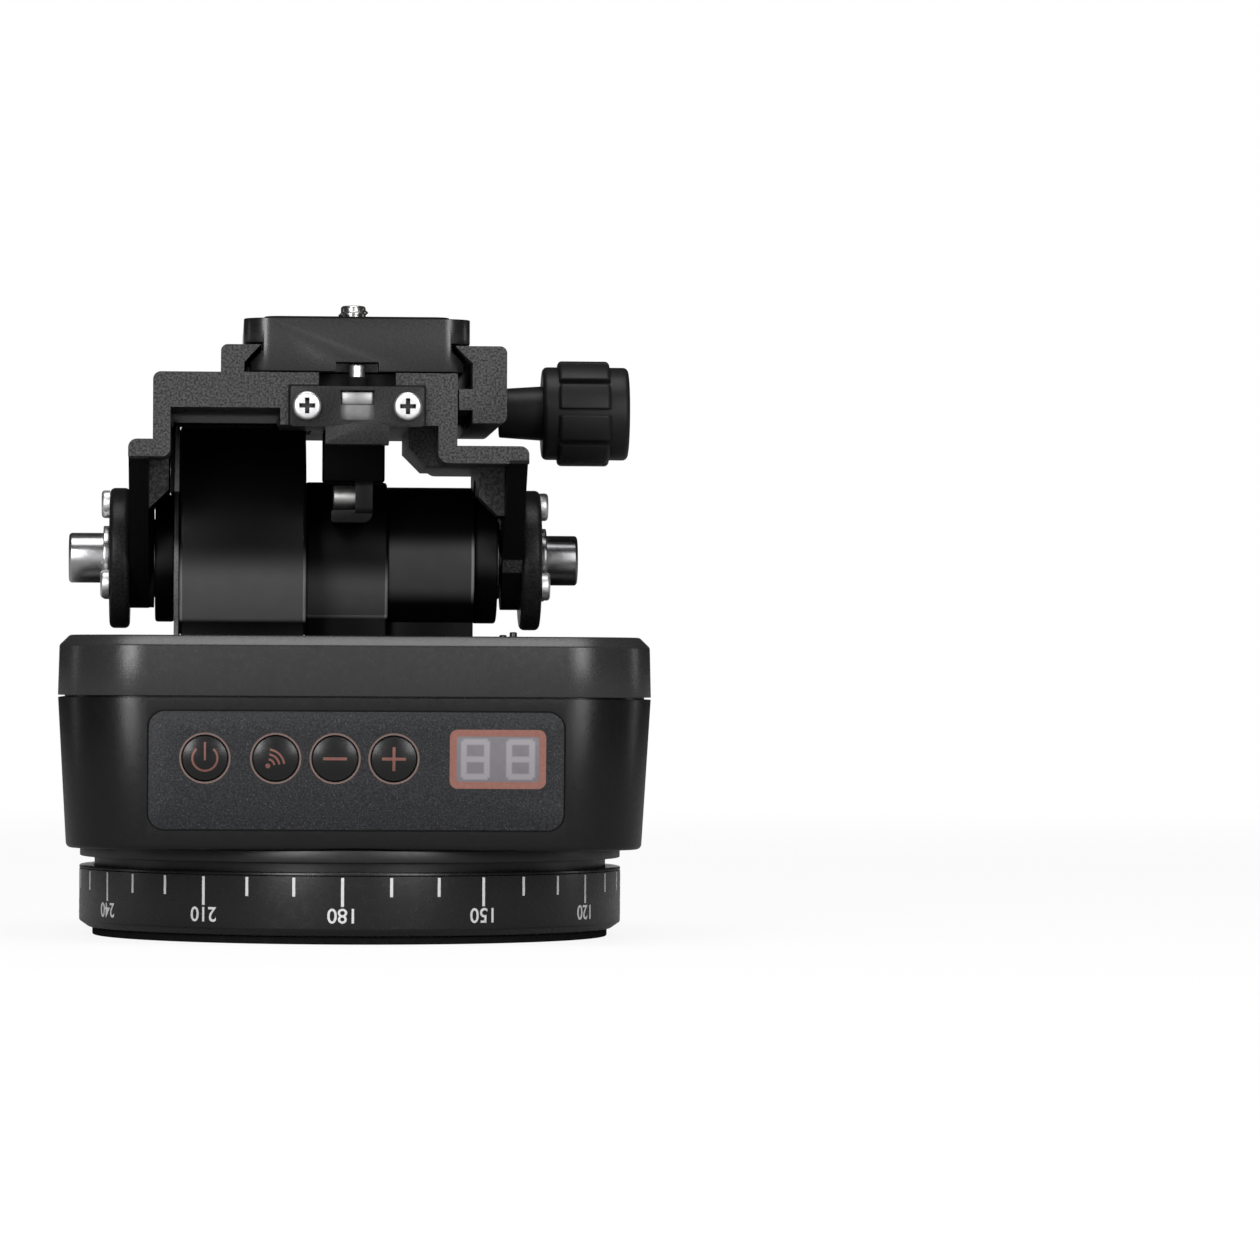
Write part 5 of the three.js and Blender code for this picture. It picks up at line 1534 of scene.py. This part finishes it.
# A black ring beside the left arm, a dark ring put where there is shade between the arm and the
# collar.
arm_shade_ring = made("left_arm_shade_ring", across(turned(hoop(*shade_ring_radii, *shade_ring_ends), True)), rubber)
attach(arm_shade_ring, "cradle")

# Shafts: chromed steel stubs with a flange, one at each end of the tilt axis.
# The left one is keyed to the output gear and turns the cradle.
# The right one only carries it; its chrome is a darker copy, painted shade.
stub_radius = 5.3
stub_edge = 0.7
stub_flange = 6.8
stub_flange_edge = 0.2
chrome = metal("chrome", (0.56, 0.56, 0.57, 1), (0.68, 0.68, 0.69, 1), 0.24, 700, 0.05)
# A darker copy of the chrome for the right stub: painted shade.
shaded_chrome = metal("shaded_chrome", (0.20, 0.20, 0.205, 1), (0.28, 0.28, 0.285, 1), 0.24, 700, 0.05)
shafts = {
    "left_shaft": (chrome, -60.05, -52.75, -51.45, -21.25),
    "right_shaft": (shaded_chrome, 48, 41.3, 40, 26),
}
for name, (stub_metal, end, flange_face, flange_back, root) in shafts.items():
    section = [
        (0, end),
        (stub_radius, end, stub_edge),
        (stub_radius, flange_face),
        (stub_flange, flange_face, stub_flange_edge),
        (stub_flange, flange_back, stub_flange_edge),
        (stub_radius, flange_back),
        (stub_radius, root),
        (0, root),
    ]
    shaft = made(name + "_stub", across(turned(section, steps=hole_steps)), stub_metal)
    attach(shaft, "cradle")
    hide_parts(name)

# Flange discs: dark metal discs with rounded rims, screwed to the outside of both arms.
# The shaft stubs come out through their bores.
disc_radius = 14.9
disc_edge = 1.1
disc_bore = 5.6
discs = {"left_disc": (-51.4, -47.1), "right_disc": (35.65, 39.95)}
disc_metal = cast_metal("disc_metal", grey(0.008), grey(0.020), 0.36, 0.2)
for name, (left, right) in discs.items():
    section = hoop(disc_bore, disc_radius, left, right, ring_edge, disc_edge)
    disc = made(name + "_flange", across(turned(section, True)), disc_metal)
    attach(disc, "cradle")
    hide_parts(name)

# Screws: chromed pan heads with a cross recess, three in each disc and two in the lock cover.
# The recess is painted darker than the head: painted shade.
head_radius = 2.95
head_height = 1.8
head_crown = 0.7
shank_radius = 1.3
cross_width = 0.9
cross_reach = 2
cross_depth = 1.1
cross_taper = 0.6
recess_shade = 0.1
screw_seat = 0.05
screw_steps = 48
screw_circle = 11.4
screw_count = 3
disc_shank = 4
lock_shank = 6.5
lock_screw_place = (10.35, -47.25, 110.5)
facing_left = Matrix.Rotation(math.pi, 4, "Z") @ facing_right
screw_metal = metal("screw_metal", (0.78, 0.78, 0.79, 1), (0.9, 0.9, 0.91, 1), 0.42, 900, 0.3, 0.1)
recess_shade_metal = metal("recess_shade_metal", grey(0.03), grey(0.10), 0.5)


def pan_screw(shank):
    """A pan head screw along Z with its seat at zero."""
    head = turned([
        (0, -shank),
        (shank_radius, -shank),
        (shank_radius, screw_seat),
        (head_radius, screw_seat),
        (head_radius, head_height, head_crown),
        (0, head_height),
    ], steps=screw_steps)
    low = head_height - cross_depth
    high = head_height + cut_overrun
    cutters = []
    for turn in (0, math.pi / 2):
        slot = block((-cross_reach, -cross_width / 2, low), (cross_reach, cross_width / 2, high))
        for vertex in slot.verts:
            if vertex.co.z < low * mm + weld:
                vertex.co.x *= cross_taper
        cutters.append(placed(slot, Matrix.Rotation(turn, 4, "Z")))
    head = combined(head, "DIFFERENCE", *cutters)
    for face in head.faces:
        middle = face.calc_center_median() / mm
        if math.hypot(middle.x, middle.y) < cross_reach and 0 < middle.z < head_height - recess_shade:
            face.material_index = 1
    return head


def driven(name, shank, facing, place):
    """Makes a screw at its place, on the cradle."""
    screw = made(name + "_head", placed(pan_screw(shank), facing, place), screw_metal)
    screw.data.materials.append(recess_shade_metal)
    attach(screw, "cradle")
    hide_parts(name)


disc_sides = {
    "left": (facing_left, discs["left_disc"][0]),
    "right": (facing_right, discs["right_disc"][1]),
}
for side, (facing, x) in disc_sides.items():
    for number in range(screw_count):
        angle = math.pi / 2 + number * 2 * math.pi / screw_count
        y = screw_circle * math.cos(angle)
        z = axis_height + screw_circle * math.sin(angle)
        driven(f"{side}_disc_screw_{number + 1}", disc_shank, facing, (x, y, z))
x, y, z = lock_screw_place
driven("left_lock_screw", lock_shank, facing_front, (-x, y, z))
driven("right_lock_screw", lock_shank, facing_front, (x, y, z))

# Lock cover: a flat T of dark metal on the cradle's front, held by the two screws.
# It has a window for the slider's finger lip, and its foot turns in under the spring.
lock_front = -47.25
lock_back = -45.05
lock_half = 13.75
lock_low = 106.3
lock_high = 114.6
lock_edge = 0.3
lock_corner = 0.6
lock_foot_half = 6.55
lock_foot_low = 102.7
lock_foot_corner = 0.4
finger_half = 3.5
finger_heights = (107.7, 113.8)
shelf_inset = 1
shelf_back = -39.3
shelf_top = 104.2
lock_outline = [
    (-lock_half, lock_low, lock_corner),
    (-lock_foot_half, lock_low, lock_foot_corner),
    (-lock_foot_half, lock_foot_low, lock_foot_corner),
    (lock_foot_half, lock_foot_low, lock_foot_corner),
    (lock_foot_half, lock_low, lock_foot_corner),
    (lock_half, lock_low, lock_corner),
    (lock_half, lock_high, lock_corner),
    (-lock_half, lock_high, lock_corner),
]
lock_metal = cast_metal("lock_metal", grey(0.020), grey(0.034), 0.4, 0.2)
tee = combined(
    forward(lock_outline, lock_back, lock_front),
    "UNION",
    block(
        (-lock_foot_half, lock_front + shelf_inset, lock_foot_low),
        (lock_foot_half, shelf_back, shelf_top),
    ),
)
tee = combined(
    tee,
    "DIFFERENCE",
    block(
        (-finger_half, lock_front - cut_overrun, finger_heights[0]),
        (finger_half, lock_back + cut_overrun, finger_heights[1]),
    ),
)
lock_tee = made("lock_tee", softened(tee, lock_edge), lock_metal)
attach(lock_tee, "cradle")
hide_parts("lock_cover")

# Safety lock: a bright slider with a finger lip, a steel pin on top of it and a coil spring below.
# Pulling the slider down draws the pin out of the plate's path.
# A black sleeve on the pin leaves only its tip bright.
slider_half = 7.55
slider_bottom = 107.5
slider_top = 113.5
slider_front = -44.75
slider_edge = 0.12
slider_lip_half = 3.2
slider_lip_front = -46.05
slider_lip_low = 111
spring_hole = 2
spring_hole_top = 111.5
spring_hole_steps = 32
pin_place = (0, -42.025)
pin_radius = 1.6
pin_bottom = 111.4
pin_top = 119.3
pin_crown = 0.4
lock_pin_steps = 40
sleeve_radius = 2.1
sleeve_top = 116.7
spring_bottom = 104.25
spring_top = 111.2
spring_radius = 1.45
spring_wire = 0.25
spring_turns = 7
spring_turn_steps = 20
spring_crease = 60
slider_steel = metal("slider_steel", grey(0.34), grey(0.46), 0.38, 900, 0.3)
slide = combined(
    block((-slider_half, slider_front, slider_bottom), (slider_half, shelf_back, slider_top)),
    "UNION",
    block(
        (-slider_lip_half, slider_lip_front, slider_lip_low),
        (slider_lip_half, shelf_back, slider_top),
    ),
)
spring_cut = rod(spring_hole, slider_bottom - cut_overrun, spring_hole_top, spring_hole_steps)
slide = combined(slide, "DIFFERENCE", placed(spring_cut, None, (*pin_place, 0)))
slider = made("lock_slide_body", softened(slide, slider_edge), slider_steel)
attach(slider, "lock")
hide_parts("lock_slider")
pin_body = rod(pin_radius, pin_bottom, pin_top, lock_pin_steps, 0, pin_crown)
pin = made("lock_pin_body", placed(pin_body, None, (*pin_place, 0)), screw_metal)
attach(pin, "lock")
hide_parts("lock_pin")
sleeve_section = [
    (pin_radius, slider_top),
    (sleeve_radius, slider_top),
    (sleeve_radius, sleeve_top, ring_edge),
    (pin_radius, sleeve_top),
]
sleeve = placed(turned(sleeve_section, True), None, (*pin_place, 0))
pin_sleeve = made("lock_pin_sleeve", sleeve, rubber)
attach(pin_sleeve, "lock")
wire_section = [
    (spring_radius - spring_wire, spring_bottom + spring_wire),
    (spring_radius, spring_bottom),
    (spring_radius + spring_wire, spring_bottom + spring_wire),
    (spring_radius, spring_bottom + 2 * spring_wire),
]
rise = (spring_top - spring_bottom - 2 * spring_wire) / spring_turns
coil_steps = spring_turn_steps * spring_turns
coil = turned(wire_section, True, coil_steps, 2 * math.pi * spring_turns, rise)
spring = made("lock_coil", placed(coil, None, (*pin_place, 0)), bearing_steel, spring_crease)
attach(spring, "cradle")
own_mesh(spring)
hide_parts("lock_spring")

# Tilt stop: a black block under the cradle's spine, and a steel pin in a bracket on the drive.
# The block meets the pin at the end of the tilt.
stop_half = 6.55
stop_front = -14
stop_back = -6
stop_low = 95.9
stop_high = 106.65
stop_edge = 0.5
stop_rounding = 3
stop_pin_place = (0, -23.5, 92.3)
stop_pin_radius = 2.5
stop_pin_left = -4.5
stop_pin_right = 1.9
stop_pin_edge = 0.4
tab_front = -27.2
tab_back = -19.8
tab_low = 88.6
tab_high = 96
tab_corner = 1.6
tab_thickness = 3.6
tab_left = 0.1
foot_left = -4.9
foot_right = 3.7
foot_low = 87.1
foot_high = 89.7
foot_back = -8.2
foot_front = -26.6
foot_corner = 0.5
foot_wide_corner = 2
bracket_edge = 0.25
stop_plastic = plastic("stop_plastic", grey(0.002), grey(0.004), 0.5, 0.2, 0.05)
stop = block((-stop_half, stop_front, stop_low), (stop_half, stop_back, stop_high))
stop_body = made("stop_body", softened(stop, stop_edge, stop_rounding), stop_plastic)
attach(stop_body, "cradle")
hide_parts("stop_block")
pin_shape = rod(stop_pin_radius, stop_pin_left, stop_pin_right, screw_steps, stop_pin_edge)
stop_pin_body = made("stop_pin_body", placed(pin_shape, facing_right, stop_pin_place), can_steel)
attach(stop_pin_body, "head")
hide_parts("stop_pin")
tab_outline = [
    (tab_front, tab_low, tab_corner),
    (tab_back, tab_low),
    (tab_back, tab_high),
    (tab_front, tab_high, tab_corner),
]
foot_outline = [
    (foot_left, foot_low, foot_corner),
    (foot_right, foot_low, foot_wide_corner),
    (foot_right, foot_high),
    (foot_left, foot_high, foot_corner),
]
tab = placed(slab(tab_outline, tab_thickness, low=tab_left), facing_right)
bracket = combined(tab, "UNION", forward(foot_outline, foot_back, foot_front))
sleeve_cut = rod(middle_radius + fit_gap, middle_left, motor_left, fine_steps)
bracket = combined(bracket, "DIFFERENCE", across(sleeve_cut))
bracket_plastic = plastic("bracket_plastic", grey(0.004), grey(0.008), 0.45, 0.3, 0.15)
bracket_body = made("stop_bracket_body", softened(bracket, bracket_edge), bracket_plastic)
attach(bracket_body, "head")
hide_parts("stop_bracket")

# Release plate: a rounded block of smooth anodised metal, cut to a dovetail along both sides.
# It has a recess for the rubber pad, a hole for the camera screw
# and a notch under its front end for the safety pin.
plate_front = -44
plate_low = 117.8
plate_high = 128.8
plate_foot_half = 22
plate_foot_top = 119.6
waist_half = 19.5
waist_heights = (122.1, 123.7)
plate_half = 23.4
plate_section = [
    (-plate_foot_half, plate_low),
    (plate_foot_half, plate_low),
    (plate_foot_half, plate_foot_top),
    (waist_half, waist_heights[0]),
    (waist_half, waist_heights[1]),
    (plate_half, waist_heights[1]),
    (plate_half, plate_high),
    (-plate_half, plate_high),
    (-plate_half, waist_heights[1]),
    (-waist_half, waist_heights[1]),
    (-waist_half, waist_heights[0]),
    (-plate_foot_half, plate_foot_top),
]
plate_corner = 5.5
trim_low = 113
trim_height = 20
release_edge = 0.6
screw_way = 3.5
screw_room = 7.8
screw_room_top = 121.9
notch_half = 4.4
notch_back = -38.6
notch_top = 119.7
pad_width = 38.4
pad_length = 79.6
pad_corner = 3.4
pad_low = 128
pad_high = 129.4
pad_edge = 0.3
pad_seat_low = 127.95
pad_seat_depth = 4
anodised = surface(
    "anodised_metal",
    spotted(grey(0.010), grey(0.017), 2200, 3),
    (0.24, 0.08, 1500, 3),
    (0.12, 0.03, 4200),
    {"Metallic": 0.2, "Specular IOR Level": 1.0},
)
camera_plate = combined(
    forward(plate_section, -plate_front + cut_overrun, plate_front - cut_overrun),
    "INTERSECT",
    slab(rectangle(2 * plate_half, -2 * plate_front, plate_corner), trim_height, low=trim_low),
)
camera_plate = combined(
    camera_plate,
    "DIFFERENCE",
    rod(screw_way, plate_low - cut_overrun, plate_high + cut_overrun),
    rod(screw_room, plate_low - cut_overrun, screw_room_top),
    block(
        (-notch_half, plate_front - cut_overrun, plate_low - cut_overrun),
        (notch_half, notch_back, notch_top),
    ),
    slab(
        rectangle(pad_width + 2 * fit_gap, pad_length + 2 * fit_gap, pad_corner + fit_gap),
        pad_seat_depth,
        low=pad_seat_low,
    ),
)
plate_body = made("camera_plate", softened(camera_plate, release_edge), anodised)
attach(plate_body, "plate")
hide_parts("release_plate")

# Rubber pad: it lies in the plate's recess, and fine ribs across it grip the camera.
# A hole in its middle lets the camera screw through.
rib_pitch = 1.6
rib_depth = 0.25
rib_half = 17
rib_gap_half = 0.3
plain_ribs = 3
pad = slab(rectangle(pad_width, pad_length, pad_corner), pad_high - pad_low, 0, pad_edge, pad_low)
rib_count = int(pad_length / rib_pitch) - plain_ribs
grooves = bmesh.new()
for number in range(rib_count):
    y = (number - (rib_count - 1) / 2) * rib_pitch
    groove_low = (-rib_half, y - rib_gap_half, pad_high - rib_depth)
    added(grooves, block(groove_low, (rib_half, y + rib_gap_half, pad_high + cut_overrun)))
screw_cut = rod(screw_way, pad_low - cut_overrun, pad_high + cut_overrun)
pad = combined(pad, "DIFFERENCE", grooves, screw_cut)
plate_pad = made("grip_pad", pad, rubber)
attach(plate_pad, "plate")
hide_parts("plate_pad")

# Camera screw: bright steel with a broad head in the plate and a quarter inch thread.
# A slot in the head's underside takes a coin.
camera_radius = 3.175
camera_core = 2.65
camera_pitch = 1.27
camera_thread_steps = 36
camera_thread_sink = 0.05
screw_top = 133.8
screw_tip = 0.6
camera_head_radius = 7.5
camera_head_edge = 0.3
head_low = 118.4
head_high = 121.6
coin_reach = 8
coin_half = 0.9
coin_depth = 1.4
screw_section = [
    (0, head_low),
    (camera_head_radius, head_low, camera_head_edge),
    (camera_head_radius, head_high, camera_head_edge),
    (camera_core, head_high),
    (camera_core, screw_top, screw_tip),
    (0, screw_top),
]
screw_body = combined(
    turned(screw_section, steps=hole_steps),
    "DIFFERENCE",
    block(
        (-coin_reach, -coin_half, head_low - cut_overrun),
        (coin_reach, coin_half, head_low + coin_depth),
    ),
)
camera_screw = made("camera_screw_body", screw_body, bearing_steel)
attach(camera_screw, "camera_screw")
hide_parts("camera_screw")
camera_tooth = thread(
    camera_core - camera_thread_sink,
    camera_radius - camera_core + camera_thread_sink,
    camera_pitch,
    head_high,
    screw_top - camera_head_edge,
    camera_thread_steps,
)
camera_thread = made("camera_screw_thread", camera_tooth, bearing_steel)
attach(camera_thread, "camera_screw")

# Moving jaw: the other half of the clamp, of the cradle's blasted metal.
# Its tooth holds the plate's dovetail, and its tongue slides against the cradle's side.
jaw_left = 23.85
jaw_right = 30.9
jaw_low = 107.3
jaw_tip = 20.25
tongue_left = 21
tongue_heights = (110, 114.3)
jaw_hole_ends = (20, 32)
jaw_outline = [
    (jaw_left, jaw_low),
    (jaw_right, jaw_low, jaw_corner),
    (jaw_right, jaw_top, jaw_corner),
    (jaw_tip, jaw_top),
    (jaw_left, jaw_foot),
    (jaw_left, tongue_heights[1]),
    (tongue_left, tongue_heights[1]),
    (tongue_left, tongue_heights[0]),
    (jaw_left, tongue_heights[0]),
]
jaw = combined(
    forward(jaw_outline, cradle_half, -cradle_half),
    "DIFFERENCE",
    across(rod(clamp_hole, *jaw_hole_ends), screw_hole_height),
)
jaw_body = made("jaw_body", softened(jaw, cradle_edge), cradle_metal)
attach(jaw_body, "jaw")
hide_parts("clamp_jaw")

# Clamp knob: black plastic with a neck, a round core and ten rounded pads for the fingers.
# Its screw pulls the moving jaw towards the cradle.
pad_count = 10
pad_gap = 1.3
pad_steps = 16
knob_left = 31.2
knob_face = 40.3
knob_right = 58.7
knob_bore = 3.3
knob_bore_end = 43.2
knob_edge = 1.1
core_radius = 9.9
neck_radii = (5.2, 5.8)
neck_edge = 0.3
grip_ends = (43.6, 54.6)
grip_inner = 9
grip_outer = 11.2
grip_middle = 10.6
grip_corner = 0.9
grip_edge = 0.6
knob_plastic = plastic("knob_plastic", grey(0.007), grey(0.013), 0.42, 0.3, 0.25)
knob_shape = turned([
    (0, knob_bore_end),
    (knob_bore, knob_bore_end),
    (knob_bore, knob_left),
    (neck_radii[0], knob_left, neck_edge),
    (neck_radii[1], knob_face),
    (core_radius, knob_face, knob_edge),
    (core_radius, knob_right, knob_edge),
    (0, knob_right),
])
grip_section = hoop(grip_inner, grip_outer, *grip_ends, 0, grip_corner)
sweep = 2 * math.pi / pad_count - pad_gap / grip_middle
for number in range(pad_count):
    start = number * 2 * math.pi / pad_count - sweep / 2 + math.pi / 2
    grip = placed(turned(grip_section, True, pad_steps, sweep), Matrix.Rotation(start, 4, "Z"))
    knob_shape = combined(knob_shape, "UNION", softened(grip, grip_edge))
knob = made("knob_body", across(knob_shape, screw_hole_height), knob_plastic)
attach(knob, "knob")
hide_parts("clamp_knob")
clamp_left = 9.7
clamp_right = 42.2
clamp_radius = 2.55
clamp_tip = 0.5
clamp_thread = {"radius": 2.5, "tooth": 0.5, "pitch": 1, "low": 9.9, "high": 30.5, "steps": 32}
clamp_rod = rod(clamp_radius, clamp_left, clamp_right, lock_pin_steps, clamp_tip)
clamp_body = added(clamp_rod, thread(**clamp_thread))
clamp_screw = made("clamp_screw_body", across(clamp_body, screw_hole_height), bearing_steel)
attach(clamp_screw, "knob")
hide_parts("clamp_screw")

# Sizes of the CAD model and of the dressed model, for comparing.
dressed_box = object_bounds()
[[list(corner) for corner in box] for box in (cad_box, dressed_box)]
